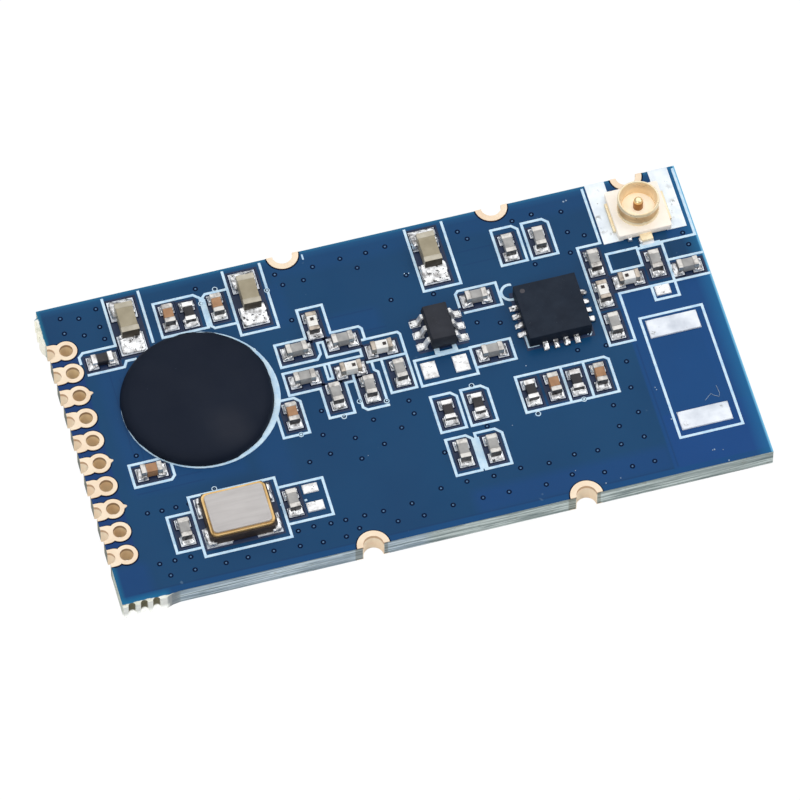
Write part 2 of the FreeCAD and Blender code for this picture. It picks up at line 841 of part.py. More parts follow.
# Plating, lands, solder and legend
model = edge_pad()
edge_pads = [turned(model, 0, where) for where in edge_pad_places()]
model = side_pad()
side_pads = [turned(model, turn, where) for where, turn in side_pad_places()]
save("edge_pads", edge_pads)
save("side_pads", side_pads)
save("component_lands", lands)
save("solder_fillets", solder)
save("legend_print", legend(lands + [dome] + side_pads))
save("board", [board()])
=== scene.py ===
import math
import random

import bmesh
import bpy
from mathutils import Matrix, Vector


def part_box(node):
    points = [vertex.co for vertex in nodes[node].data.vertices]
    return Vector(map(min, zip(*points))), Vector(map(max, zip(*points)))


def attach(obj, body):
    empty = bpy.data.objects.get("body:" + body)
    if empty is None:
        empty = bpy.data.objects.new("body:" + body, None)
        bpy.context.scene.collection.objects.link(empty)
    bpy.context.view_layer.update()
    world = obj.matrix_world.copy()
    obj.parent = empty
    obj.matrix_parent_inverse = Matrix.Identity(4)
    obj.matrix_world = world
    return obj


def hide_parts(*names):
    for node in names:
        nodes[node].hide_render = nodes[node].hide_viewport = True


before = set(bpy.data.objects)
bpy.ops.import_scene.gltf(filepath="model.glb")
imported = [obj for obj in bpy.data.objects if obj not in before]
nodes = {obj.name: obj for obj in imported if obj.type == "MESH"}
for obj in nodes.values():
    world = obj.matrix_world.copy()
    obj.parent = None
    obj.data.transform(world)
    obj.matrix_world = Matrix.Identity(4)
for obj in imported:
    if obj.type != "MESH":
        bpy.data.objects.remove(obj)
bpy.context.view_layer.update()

# Metres in the scene, millimetres in the sizes below. Levels count from the board's underside, the half holes
# from its left edge, and SUNK is how deep the thin marks reach into the board.
MM = 0.001
BOARD_TOP = 1.0
LAND_TOP = 1.04
LEFT, FRONT, BACK = -15.5, -8.2, 8.2
SUNK = 0.01
EDGE_PAD_PITCH = 1.27
HALF_HOLES_FRONT = (11.877, 22.037)
HALF_HOLE_AT_SOCKET = 28.62
dice = random.Random(7)


# Hands: the few moves every piece is made with


def put_down():
    """Leave edit mode and let go of everything."""
    if bpy.context.object and bpy.context.object.mode != "OBJECT":
        bpy.ops.object.mode_set(mode="OBJECT")
    bpy.ops.object.select_all(action="DESELECT")


def take(piece):
    """Hold one piece and nothing else."""
    put_down()
    piece.select_set(True)
    bpy.context.view_layer.objects.active = piece
    return piece


def block(name, middle, size):
    """A block to start from, at its size and place."""
    put_down()
    bpy.ops.mesh.primitive_cube_add(size=1, location=[v * MM for v in middle])
    piece = bpy.context.object
    piece.name = name
    piece.scale = [v * MM for v in size]
    bpy.ops.object.transform_apply(location=True, rotation=True, scale=True)
    return piece


def disc(name, middle, radius, sides):
    """A flat round plate to start from."""
    put_down()
    bpy.ops.mesh.primitive_circle_add(
        vertices=sides, radius=radius * MM, fill_type="NGON", location=[v * MM for v in middle]
    )
    piece = bpy.context.object
    piece.name = name
    bpy.ops.object.transform_apply(location=True, rotation=True, scale=True)
    return piece


def open_up(piece, mode="VERT"):
    """Go into edit mode with nothing selected."""
    take(piece)
    bpy.ops.object.mode_set(mode="EDIT")
    bpy.ops.mesh.select_mode(type=mode)
    bpy.ops.mesh.select_all(action="DESELECT")


def choose_all():
    """Select everything in the open piece."""
    bpy.ops.mesh.select_all(action="SELECT")


def choose_points(piece, wanted):
    """Select the points whose place, in millimetres, passes a test."""
    mesh = bmesh.from_edit_mesh(piece.data)
    for point in mesh.verts:
        point.select_set(wanted(point.co / MM))
    mesh.select_flush_mode()
    bmesh.update_edit_mesh(piece.data)


def choose_faces(piece, wanted):
    """Select the faces whose middle, in millimetres, and normal pass a test."""
    mesh = bmesh.from_edit_mesh(piece.data)
    mesh.faces.ensure_lookup_table()
    for face in mesh.faces:
        face.select_set(wanted(face.calc_center_median() / MM, face.normal))
    bmesh.update_edit_mesh(piece.data)


def faces_up(at, out):
    """The test for faces that look straight up."""
    return out.z > 0.9


def inset(width, rise=0):
    """Set the selected faces in, and raise or sink them."""
    bpy.ops.mesh.inset(thickness=width * MM, depth=rise * MM)


def slice_at(place, direction, drop_outside=False):
    """Cut all of the open piece along a plane."""
    choose_all()
    bpy.ops.mesh.bisect(
        plane_co=[v * MM for v in place],
        plane_no=direction,
        use_fill=drop_outside,
        clear_outer=drop_outside,
        threshold=0.0001 * MM,
    )


def work_in(piece, name, kind, **settings):
    """Put a modifier on a piece and apply it."""
    take(piece)
    added = piece.modifiers.new(name, kind)
    for label, value in settings.items():
        setattr(added, label, value)
    bpy.ops.object.modifier_apply(modifier=added.name)


def soften(piece, width, steps=2, angle=30):
    """Round the edges off, and smooth what is left flat enough."""
    bend = math.radians(angle)
    work_in(piece, "edge rounding", "BEVEL", width=width * MM, segments=steps, limit_method="ANGLE", angle_limit=bend)
    bpy.ops.object.shade_smooth_by_angle(angle=math.radians(45))
    return piece


def roughen(piece, grain, depth, direction="NORMAL"):
    """Uneven the surface with cloudy noise that is fixed in space, so no two copies come out alike."""
    clouds = bpy.data.textures.new(piece.name + "_unevenness", "CLOUDS")
    clouds.noise_scale = grain * MM
    clouds.noise_depth = 1
    swell = {"texture": clouds, "texture_coords": "GLOBAL", "direction": direction, "strength": depth * MM}
    work_in(piece, "unevenness", "DISPLACE", mid_level=0.5, **swell)
    bpy.ops.object.shade_smooth()
    return piece


def turned(name, outline, steps, closed=True):
    """A piece turned on a lathe about the origin: one point drawn out along its outline, then spun."""
    put_down()
    bpy.ops.mesh.primitive_plane_add(size=MM)
    piece = bpy.context.object
    piece.name = name
    bpy.ops.object.mode_set(mode="EDIT")
    bpy.ops.mesh.select_mode(type="VERT")
    choose_all()
    bpy.ops.mesh.merge(type="CENTER")
    choose_all()
    points = [Vector((radius * MM, 0, height * MM)) for radius, height in outline + outline[:closed]]
    bpy.ops.transform.translate(value=points[0])
    for here, there in zip(points, points[1:]):
        bpy.ops.mesh.extrude_vertices_move(TRANSFORM_OT_translate={"value": there - here})
    choose_all()
    bpy.ops.mesh.spin(steps=steps, angle=math.tau, center=(0, 0, 0), axis=(0, 0, 1))
    choose_all()
    bpy.ops.mesh.remove_doubles(threshold=0.0005 * MM)
    bpy.ops.mesh.normals_make_consistent(inside=False)
    put_down()
    take(piece)
    bpy.ops.object.shade_smooth_by_angle(angle=math.radians(38))
    return piece


def move(piece, x, y):
    """Move a piece that was made about the origin, with its place in its mesh."""
    piece.data.transform(Matrix.Translation((x * MM, y * MM, 0)))
    return piece


def copy_to(model, name, where, turn=0.0, size=(1, 1, 1)):
    """A copy with its own mesh, turned about Z and moved to its place, in millimetres."""
    copy = model.copy()
    copy.data = model.data.copy()
    copy.name = name
    bpy.context.collection.objects.link(copy)
    placing = Matrix.Translation(Vector(where) * MM) @ Matrix.Rotation(math.radians(turn), 4, "Z")
    copy.data.transform(placing @ Matrix.Diagonal((*size, 1)))
    return copy


def throw_away(model):
    """Remove a model once its copies stand."""
    bpy.data.objects.remove(model, do_unlink=True)


def gather(name, pieces):
    """Join several pieces into one."""
    put_down()
    for piece in pieces:
        piece.select_set(True)
    bpy.context.view_layer.objects.active = pieces[0]
    bpy.ops.object.join()
    pieces[0].name = name
    return pieces[0]


def place_in_shop(piece, *stands_for):
    """The piece belongs to the module, and stands for these parts of the source."""
    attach(piece, "root")
    if stands_for:
        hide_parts(*stands_for)
    return piece


def where_is(node):
    """Middle and foot of a part of the source in millimetres, and its turn: 0 along X, 90 along Y."""
    low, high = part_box(node)
    low, high = Vector(low) / MM, Vector(high) / MM
    turn = 0 if high.x - low.x > high.y - low.y else 90
    return Vector(((low.x + high.x) / 2, (low.y + high.y) / 2, low.z)), turn


def on_board(x, y, z=BOARD_TOP):
    """A place measured from the front left corner of the board."""
    return Vector((LEFT + x, FRONT + y, z))


def edge_pad_y(number):
    """How far back an edge pad stands, counted from 0 at the front."""
    return (number - 4.5) * EDGE_PAD_PITCH


# Paints: shared effects first, then the finishes

BLACK = (0, 0, 0, 1)


def paint(colour):
    """A colour as it looks, 0 to 255, in the light values that a socket wants."""
    shares = [value / 255 for value in colour]
    return (*[share / 12.92 if share <= 0.04045 else ((share + 0.055) / 1.055) ** 2.4 for share in shares], 1)


class Wiring:
    """A node tree being put together."""

    def __init__(self, tree):
        self.tree = tree

    def feed(self, socket, value):
        """A wire into a socket, or a plain value on it."""
        if isinstance(value, bpy.types.NodeSocket):
            self.tree.links.new(value, socket)
        else:
            socket.default_value = value

    def add(self, kind, *leading, **named):
        """A node: its leading inputs in order, its settings in lower case, and further inputs by their names."""
        node = self.tree.nodes.new("ShaderNode" + kind)
        for label, value in named.items():
            if label.islower():
                setattr(node, label, value)
        for slot, value in enumerate(leading):
            self.feed(node.inputs[slot], value)
        for label, value in named.items():
            if not label.islower():
                self.feed(node.inputs[label.replace("_", " ")], value)
        return node

    def sum(self, operation, first, second, clamp=False):
        """A sum of two values, each a socket or a number."""
        return self.add("Math", first, second, operation=operation, use_clamp=clamp).outputs[0]

    def mix(self, mask, first, second):
        """The first colour where the mask is 0, the second where it is 1."""
        node = self.add("Mix", mask, data_type="RGBA")
        self.feed(node.inputs[6], first)
        self.feed(node.inputs[7], second)
        return node.outputs[2]


class Effect(Wiring):
    """A node group being put together. An input is given as its default number or as its kind."""

    def __init__(self, name, inputs, outputs):
        super().__init__(bpy.data.node_groups.new(name, "ShaderNodeTree"))
        for label, value in {"Place": "Vector", **inputs}.items():
            kind = value if isinstance(value, str) else "Float"
            socket = self.tree.interface.new_socket(label, in_out="INPUT", socket_type="NodeSocket" + kind)
            if kind == "Float":
                socket.default_value = value
        for label, kind in outputs.items():
            self.tree.interface.new_socket(label, in_out="OUTPUT", socket_type="NodeSocket" + kind)
        self.into = self.tree.nodes.new("NodeGroupInput")
        self.out = self.tree.nodes.new("NodeGroupOutput")

    def __getitem__(self, label):
        """One of the effect's inputs."""
        return self.into.outputs[label]

    def clouds(self, scale, **more):
        """Cloudy noise at the place given."""
        return self.add("TexNoise", Vector=self["Place"], Scale=scale, **more).outputs

    def give(self, label, value):
        """Wire one of the effect's outputs."""
        self.feed(self.out.inputs[label], value)
        return self.tree


def make_patchy():
    """Two tones that drift into one another in soft patches."""
    made = Effect(
        "patchy tone",
        {"First": "Color", "Second": "Color", "Scale": 800.0, "Sharpness": 2.0, "Balance": 0.5},
        {"Color": "Color", "Mask": "Float"},
    )
    off = made.sum("SUBTRACT", made.clouds(made["Scale"], Detail=4)[0], made["Balance"])
    mask = made.sum("ADD", made.sum("MULTIPLY", off, made["Sharpness"]), 0.5, clamp=True)
    made.give("Color", made.mix(mask, made["First"], made["Second"]))
    return made.give("Mask", mask)


def make_between(name, *spans):
    """What lies between the two ends of each span, given as axis, low end and high end: a mask with soft sides."""
    ends = [label for axis, low, high in spans for label in (low, high)]
    made = Effect(name, {**dict.fromkeys(ends, 0.0), "Softness": 0.04 * MM}, {"Mask": "Float"})
    split = made.add("SeparateXYZ", made["Place"])
    mask = 1.0
    for axis, low, high in spans:
        at = split.outputs[axis]
        for start, end in ((made[low], at), (at, made[high])):
            eased = made.sum("DIVIDE", made.sum("SUBTRACT", end, start), made["Softness"])
            mask = made.sum("MULTIPLY", mask, made.sum("ADD", eased, 0.5, clamp=True))
    return made.give("Mask", mask)


def make_grain():
    """Fine unevenness of a surface, as a height, with a coarser swell under it."""
    made = Effect("surface grain", {"Scale": 9000.0, "Swell": 0.3}, {"Height": "Float"})
    fine = made.clouds(made["Scale"], Detail=3)[0]
    coarse = made.clouds(made.sum("MULTIPLY", made["Scale"], 0.12))[0]
    return made.give("Height", made.sum("ADD", fine, made.sum("MULTIPLY", coarse, made["Swell"])))


def make_specks():
    """Small scattered specks, such as flux, dust or pits, as a mask."""
    made = Effect("scattered specks", {"Scale": 6000.0, "Share": 0.35}, {"Mask": "Float"})
    over = made.sum("SUBTRACT", made["Share"], made.clouds(made["Scale"], Detail=2, Roughness=0.7)[0])
    return made.give("Mask", made.sum("MULTIPLY", over, 14.0, clamp=True))


def make_ragged():
    """The place, shaken a little, so that the side of a field comes out torn."""
    made = Effect("ragged place", {"Scale": 3000.0, "Reach": 0.0001}, {"Place": "Vector"})
    noise = made.clouds(made["Scale"])["Color"]
    centred = made.add("VectorMath", noise, (0.5, 0.5, 0.5), operation="SUBTRACT")
    shake = made.add("VectorMath", centred.outputs[0], operation="SCALE", Scale=made["Reach"])
    return made.give("Place", made.add("VectorMath", made["Place"], shake.outputs[0], operation="ADD").outputs[0])


PATCHY = make_patchy()
FIELD = make_between("field on the board", (0, "Left", "Right"), (1, "Front", "Back"))
GRAIN = make_grain()
SPECKS = make_specks()
LAYER = make_between("layer of the board", (2, "Low", "High"))
RAGGED = make_ragged()


class Finish(Wiring):
    """A material being mixed, on the piece's own coordinates. Colours are given as they look, 0 to 255."""

    def __init__(self, name, **shader):
        self.made = bpy.data.materials.new(name)
        self.made.use_nodes = True
        super().__init__(self.made.node_tree)
        self.surface = self.tree.nodes["Principled BSDF"]
        for label, value in shader.items():
            self.surface.inputs[label.replace("_", " ")].default_value = value
        self.place = self.add("TexCoord").outputs["Object"]

    def effect(self, group, output="Mask", place=None, **values):
        """The output of one of the shared effects."""
        return self.add("Group", node_tree=group, Place=place or self.place, **values).outputs[output]

    def stretched(self, x, y, z):
        """The piece's coordinates, drawn out so that a pattern runs in one direction."""
        return self.add("Mapping", self.place, Scale=(x, y, z)).outputs[0]

    def field(self, left, right, front, back, softness, place=None):
        """Mask of a soft-sided field on the board, in millimetres from its front left corner."""
        ends = {"Left": LEFT + left, "Right": LEFT + right, "Front": FRONT + front, "Back": FRONT + back}
        ends = {label: value * MM for label, value in ends.items()}
        return self.effect(FIELD, place=place, Softness=softness * MM, **ends)

    def layer(self, low, high, softness=0.04):
        """Mask of a level band through the board's thickness, in millimetres from its underside."""
        return self.effect(LAYER, Low=low * MM, High=high * MM, Softness=softness * MM)

    def tone(self, first, second, scale, sharpness=2.0, balance=0.5, place=None):
        """A patchy colour."""
        values = {"Scale": scale, "Sharpness": sharpness, "Balance": balance}
        return self.effect(PATCHY, "Color", place, First=paint(first), Second=paint(second), **values)

    def over(self, under, colour, mask, strength=1.0):
        """A colour laid over another where a mask says."""
        top = paint(colour) if isinstance(colour, tuple) else colour
        return self.mix(self.sum("MULTIPLY", mask, strength), under, top)

    def over_fields(self, colour, fields):
        """Fields laid over a colour, each with its four ends, softness, strength and tone."""
        for *ends, strength, tone in fields:
            colour = self.over(colour, tone, self.field(*ends), strength)
        return colour

    def speckled(self, colour, speck, scale, share, strength):
        """Specks of one colour scattered over another."""
        return self.over(colour, speck, self.effect(SPECKS, Scale=scale, Share=share), strength)

    def shine(self, low, high, scale):
        """Roughness that wanders between two values."""
        wander = self.effect(PATCHY, Scale=scale, Sharpness=2.5)
        self.feed(self.surface.inputs["Roughness"], self.add("MapRange", wander, To_Min=low, To_Max=high).outputs[0])

    def relief(self, scale, depth, swell=0.3, place=None):
        """Grain in the surface, its depth in millimetres."""
        height = self.effect(GRAIN, "Height", place, Scale=scale, Swell=swell)
        bump = self.add("Bump", Strength=1.0, Distance=depth * MM, Height=height)
        self.feed(self.surface.inputs["Normal"], bump.outputs[0])

    def done(self, colour, shine, relief):
        """The material, with its colour, its shine and its relief on."""
        self.feed(self.surface.inputs["Base Color"], colour)
        self.shine(*shine)
        self.relief(*relief)
        return self.made


# Places on the board, in millimetres from its front left corner: left, right, front, back
COPPER_PATCHES = [(26.72, 28.0, 11.42, 12.4), (29.4, 30.85, 11.42, 12.38)]
BARE_TRACKS = [
    (2.1, 5.3, 5.44, 5.5), (2.1, 5.3, 5.9, 5.96), (2.45, 2.5, 6.1, 12.2), (2.85, 2.9, 6.4, 11.8),
    (11.0, 15.6, 11.3, 11.36), (12.2, 15.2, 12.4, 12.46), (19.8, 23.2, 14.35, 14.4), (19.9, 23.2, 13.6, 13.65),
    (22.6, 22.64, 5.5, 7.2), (23.1, 23.14, 5.5, 7.2), (23.6, 23.64, 5.5, 7.2), (0.9, 26.3, 0.32, 0.38),
    (26.5, 26.56, 0.4, 7.3), (9.5, 12.0, 8.9, 8.95),
]


def mask_blue():
    """Blue solder mask: greener over copper, bluer over laminate, with painted sheen along its edges, torn at the tabs.
    """
    made = Finish("solder_mask_blue", Specular_IOR_Level=0.15, Coat_Weight=0.03, Coat_Roughness=0.12)
    bare = made.tone((8, 66, 120), (12, 72, 130), 200)
    deep = made.tone((12, 64, 126), (14, 68, 134), 200)
    strip = made.tone((2, 66, 116), (4, 74, 128), 260)
    violet = made.tone((12, 46, 112), (14, 54, 120), 260)
    sharp, soft = 0.09, 0.5
    fields = [
        (26.35, 31.2, -0.2, 10.25, sharp, 0.85, bare), (29.6, 31.2, -0.2, 16.6, sharp, 0.6, bare),
        (26.6, 31.2, -0.2, 3.2, sharp, 0.5, deep), (17.0, 26.4, 0.3, 1.6, soft, 0.4, deep),
        (-0.2, 1.6, -0.2, 1.9, soft, 0.4, deep), (-0.2, 1.3, 2.0, 14.0, sharp, 0.6, violet),
        (1.9, 7.4, 5.35, 12.4, soft, 0.35, bare), (7.9, 9.4, 4.2, 8.2, soft, 0.3, bare),
        (12.0, 15.4, 11.2, 12.5, soft, 0.35, bare), (9.7, 11.4, 12.6, 15.1, soft, 0.3, bare),
        (16.5, 17.2, 4.6, 7.4, soft, 0.3, bare), (21.0, 25.0, 4.9, 5.5, soft, 0.3, bare),
        (11.0, 31.0, 15.2, 16.5, soft, 0.25, bare),
    ]
    fields += [(*ends, 0.08, 0.8, (4, 56, 92)) for ends in COPPER_PATCHES]
    fields += [(*ends, 0.05, 0.4, (4, 48, 96)) for ends in BARE_TRACKS]
    fields += [
        (-0.2, 31.2, -0.2, 0.3, 0.06, 0.8, strip),
        # Lighter cyan bands along the back, right, left and front edges: painted sheen, the glossy mask's reflection at
        # its edges.
        (-1, 32, 16.33, 18, 0.2, 0.8, (36, 128, 160)),
        (-1, 32, 16.1, 18, 0.35, 0.4, (24, 94, 142)),
        (30.75, 33, -1, 18, 1.1, 0.8, (26, 116, 164)),
        (30.92, 33, -1, 18, 0.08, 0.85, (120, 196, 232)),
        (-1, 0.12, -1, 2.0, 0.3, 0.8, (18, 112, 150)),
        (-1, 2.2, -1, 0.16, 0.35, 0.85, (14, 110, 154)),
        (-1, 0.1, 13.9, 16.5, 0.2, 0.8, (26, 120, 152)),
    ]
    colour = made.over_fields(made.tone((6, 60, 101), (11, 68, 109), 160), fields)
    shaken = made.effect(RAGGED, "Place", Scale=3200.0, Reach=0.16 * MM)
    torn = made.speckled(made.tone((252, 252, 244), (216, 216, 192), 1700, 3.0), (150, 128, 92), 2600, 0.42, 0.6)
    for ends in ((-1, 2.9, -1, -0.05), (-1, 0.0, 13.2, 15.95)):
        colour = made.over(colour, torn, made.field(*ends, 0.04, shaken))
    colour = made.speckled(colour, (120, 150, 170), 1500, 0.27, 0.3)
    return made.done(colour, (0.34, 0.46, 500), (2500, 0.0025, 1.5))


def laminate():
    """Routed side of the glass laminate: thin pale layers, torn white at the tabs, with a painted glow of emission on
    the thin front tab and the left tab, and painted shade in the front tab's bites and beside the tab.
    """
    made = Finish("laminate_edge", Specular_IOR_Level=0.3, Emission_Strength=0.3)
    olive = (92, 86, 52)
    colour = made.tone((138, 156, 164), (216, 230, 232), 11000, 7.0, 0.5, made.stretched(0.03, 0.03, 1))
    warm = (14.6, 33, -1, 0.02, 0.6, 0.35, (212, 212, 176))
    cool = (2.7, 14.4, -1, 0.02, 0.4, 0.42, (200, 218, 242))
    colour = made.over_fields(colour, (warm, cool))
    fibres = made.effect(SPECKS, place=made.stretched(0.05, 0.05, 1), Scale=13000.0, Share=0.43)
    colour = made.over(colour, (84, 104, 108), fibres, 0.65)
    for low, high, strength in ((0.93, 1.1, 0.55), (0.5, 0.57, 0.45), (0.07, 0.14, 0.5)):
        colour = made.over(colour, (96, 112, 110), made.layer(low, high), strength)
    # Torn white at the front tab, and grey just right of it, painted shade beside the routed wall; a paler left wall,
    # darker between the pads; the pale torn left tab; olive beside the front half holes.
    torn_and_shaded = [
        (-1, 2.3, -1, 0.02, 0.05, 0.9, (250, 250, 242)),
        (2.1, 2.72, -1, 0.02, 0.1, 0.8, (132, 138, 142)),
        (-1, 0.01, -1, 17, 0.02, 0.7, (216, 220, 202)),
        (-1, 0.01, 1.9, 14.2, 0.02, 0.8, (84, 92, 84)),
        (-1, -0.02, 14.0, 16.2, 0.02, 0.8, (246, 242, 228)),
    ]
    for x in HALF_HOLES_FRONT:
        torn_and_shaded += [(x - 0.86, x - 0.47, -1, 0.02, 0.06, 0.6, olive), (x + 0.47, x + 0.68, -1, 0.02, 0.06, 0.6, olive)]
    colour = made.over_fields(colour, torn_and_shaded)
    upper, lower = made.layer(0.36, 1.2, 0.16), made.layer(-0.2, 0.34, 0.2)
    # Painted shade: olive in the hollows of the front tab's three bites.
    for x in (0.418, 0.998, 1.578):
        bite_shade = made.sum("MULTIPLY", made.field(x - 0.16, x + 0.16, -0.19, 0.02, 0.03), upper)
        colour = made.over(colour, olive, bite_shade, 0.95)
    foot = made.sum("MULTIPLY", made.field(-1, 2.0, -1, 0.02, 0.1), lower)
    colour = made.speckled(made.over(colour, (255, 255, 252), foot, 0.9), (120, 104, 76), 2600, 0.36, 0.3)
    # Painted glow: emission lights the thin front tab and the left tab as if lamp light came through them.
    thin = made.sum("MULTIPLY", made.field(-1, 2.2, -1, -0.01, 0.05), lower)
    glow = made.over(BLACK, (255, 255, 248), thin)
    glow = made.over(glow, (255, 250, 232), made.field(-1, -0.03, 13.4, 16.2, 0.04), 0.7)
    made.feed(made.surface.inputs["Emission Color"], glow)
    return made.done(colour, (0.6, 0.85, 900), (5000, 0.02, 0.6, made.stretched(0.25, 0.25, 1)))


def plated(name, light, dark, rough, shine=0.75, rim=None):
    """Gold plating, a little cloudy, with pits where it went on thin, and a painted shade line under a hole's rim."""
    made = Finish(name, Metallic=shine)
    colour = made.speckled(made.tone(light, dark, 900, 2.2), dark, 5000, 0.3, 0.5)
    if rim:
        colour = made.over(colour, rim, made.layer(0.86, 1.2, 0.05), 0.75)
    return made.done(colour, (rough, rough + 0.15, 1400), (4000, 0.004, 1.0))


def solder_finish(name, light, dark, rough, depth, share, shine=0.85):
    """Bright solder, patchy grey as painted shade in its hollows, with dark specks as painted reflections of dark
    surroundings in the bumpy metal.
    """
    made = Finish(name, Metallic=shine)
    colour = made.speckled(made.tone(light, dark, 3600, 3.5, 0.58), (30, 28, 30), 5200, share, 0.9)
    return made.done(colour, (rough, rough + 0.16, 3000), (3600, depth, 1.2))


def land_solder(name, light, dark, grey_places):
    """Dull solder wiped flat on a land, with grey places, each at x, y on the board, a half width and a strength."""
    made = Finish(name, Metallic=0.35)
    colour = made.speckled(made.tone(light, dark, 900, 3.0, 0.56), (120, 116, 112), 3600, 0.3, 0.7)
    shaken = made.effect(RAGGED, "Place", Scale=2600.0, Reach=0.25 * MM)
    blots = made.effect(SPECKS, Scale=4200.0, Share=0.52)
    for x, y, reach, strength in grey_places:
        spot = made.field(x - reach, x + reach, y - reach, y + reach, reach * 1.4, shaken)
        colour = made.over(colour, (116, 112, 104), made.sum("MULTIPLY", spot, blots), strength)
    return made.done(colour, (0.3, 0.5, 1600), (3000, 0.012, 1.2))


def ceramic(name, light, dark, scale=2600, rough=0.42, fleck=None, through=0.0):
    """Fired ceramic of a chip part: fine grained, slightly glazed, cloudy in tone, and where through is set, a painted
    glow of emission in its own colour.
    """
    made = Finish(name, Specular_IOR_Level=0.45, Emission_Strength=through)
    colour = made.tone(light, dark, scale, 2.4)
    if through:
        made.feed(made.surface.inputs["Emission Color"], colour)
    colour = made.speckled(colour, fleck or dark, 9000, 0.34, 0.5)
    return made.done(colour, (rough, rough + 0.14, 4000), (16000, 0.003, 0.8))


def legend_white():
    """Printed white, a little blue where the mask shows through it, with a ragged tone along the lines."""
    made = Finish("legend_ink_white", Specular_IOR_Level=0.25)
    colour = made.tone((214, 238, 252), (176, 214, 244), 3200, 2.6, 0.6)
    return made.done(made.speckled(colour, (96, 140, 186), 5200, 0.31, 0.5), (0.5, 0.7, 3000), (7000, 0.006, 0.6))


def moulding(name, light, dark, rough=0.5, gloss=0.25):
    """Black moulding compound: fine matt grain with dust in it."""
    made = Finish(name, Specular_IOR_Level=gloss)
    colour = made.speckled(made.tone(dark, light, 1500, 2.0), (98, 98, 104), 11000, 0.31, 0.4)
    return made.done(colour, (rough, rough + 0.15, 1200), (15000, 0.006, 0.4))


def epoxy_black():
    """Epoxy, matt and blue-black, with a faint lighter patch low on its left and dust grains."""
    made = Finish("epoxy_blue_black", Specular_IOR_Level=0.12)
    colour = made.tone((21, 28, 42), (26, 33, 47), 300, 2.0)
    colour = made.over(colour, (52, 54, 62), made.field(6.3, 7.9, 6.7, 8.3, 0.9), 0.35)
    return made.done(made.speckled(colour, (90, 96, 110), 2600, 0.25, 0.4), (0.55, 0.7, 700), (5000, 0.004, 1.2))


def lid_metal():
    """Crystal lid: satin brown-grey metal with fine rolling lines along it."""
    made = Finish("crystal_lid_metal", Metallic=0.3)
    along = made.stretched(0.12, 1, 1)
    colour = made.tone((198, 193, 190), (182, 177, 174), 5000, 2.0, 0.5, along)
    haze = made.tone((210, 207, 204), (176, 169, 165), 420, 2.0)
    colour = made.over(colour, haze, made.effect(PATCHY, Scale=300), 0.6)
    return made.done(colour, (0.42, 0.55, 1500), (9000, 0.003, 0.5, along))


MASK = mask_blue()
LAMINATE = laminate()
GOLD_LAND = plated("gold_land", (252, 234, 208), (244, 218, 188), 0.5, 0.35)
# The hole walls take a darker copy of the land's gold, painted shade, and the half-hole walls a lighter one, painted
# light; both carry a painted shade line under the rim.
GOLD_WALL_SHADE = plated("gold_in_hole_painted_shade", (255, 240, 206), (240, 210, 164), 0.5, 0.1, (140, 98, 56))
GOLD_HALF_LIT = plated("gold_in_half_hole_painted_light", (255, 242, 216), (255, 226, 192), 0.5, 0.0, (190, 140, 88))
GOLD_TURNED = plated("gold_turned", (255, 246, 218), (252, 226, 178), 0.22, 0.3)
# The groove band and the inside of the shell take darker copies of the turned gold, painted shade.
GOLD_GROOVE_SHADE = plated("gold_groove_painted_shade", (246, 212, 162), (204, 164, 112), 0.25, 0.25)
GOLD_INNER_SHADE = plated("gold_inside_shell_painted_shade", (255, 234, 196), (240, 208, 158), 0.25, 0.2)
GOLD_BRIGHT = plated("gold_pin", (255, 240, 196), (226, 190, 128), 0.12, 0.7)
# The pin's shank is a darker copy of the pin's gold, painted shade.
GOLD_SHANK_SHADE = plated("gold_pin_shank_painted_shade", (168, 122, 70), (128, 88, 44), 0.25, 0.6)
GOLD_RING = plated("gold_seal_ring", (240, 206, 146), (206, 164, 100), 0.3, 0.6)
SOLDER = solder_finish("solder_bright", (255, 255, 255), (128, 124, 122), 0.2, 0.03, 0.42)
TINNED = land_solder(
    "solder_on_bare_land",
    (238, 242, 248),
    (196, 202, 212),
    [(27.45, 7.62, 0.09, 0.7), (27.8, 7.9, 0.05, 0.5), (29.35, 2.98, 0.07, 0.6), (27.5, 2.45, 0.12, 0.45)],
)
GROUND = land_solder(
    "solder_under_socket",
    (244, 250, 254),
    (208, 218, 228),
    [
        (26.72, 14.48, 0.1, 0.7), (26.78, 13.75, 0.14, 0.55), (30.4, 14.4, 0.16, 0.75), (30.21, 13.93, 0.08, 0.6),
        (30.05, 13.55, 0.09, 0.7), (27.12, 13.45, 0.08, 0.5), (27.05, 15.95, 0.14, 0.35), (30.45, 15.3, 0.12, 0.3),
    ],
)
TERMINAL = solder_finish("chip_terminal", (214, 210, 204), (150, 146, 142), 0.3, 0.01, 0.32)
TERMINAL_BRIGHT = solder_finish("resistor_terminal", (244, 242, 240), (176, 170, 166), 0.26, 0.01, 0.32)
TERMINAL_WARM = solder_finish("warm_terminal", (196, 184, 170), (132, 122, 112), 0.34, 0.01, 0.3)
TERMINAL_TAN = ceramic("tan_terminal", (206, 198, 180), (172, 163, 142), 1800, 0.3)
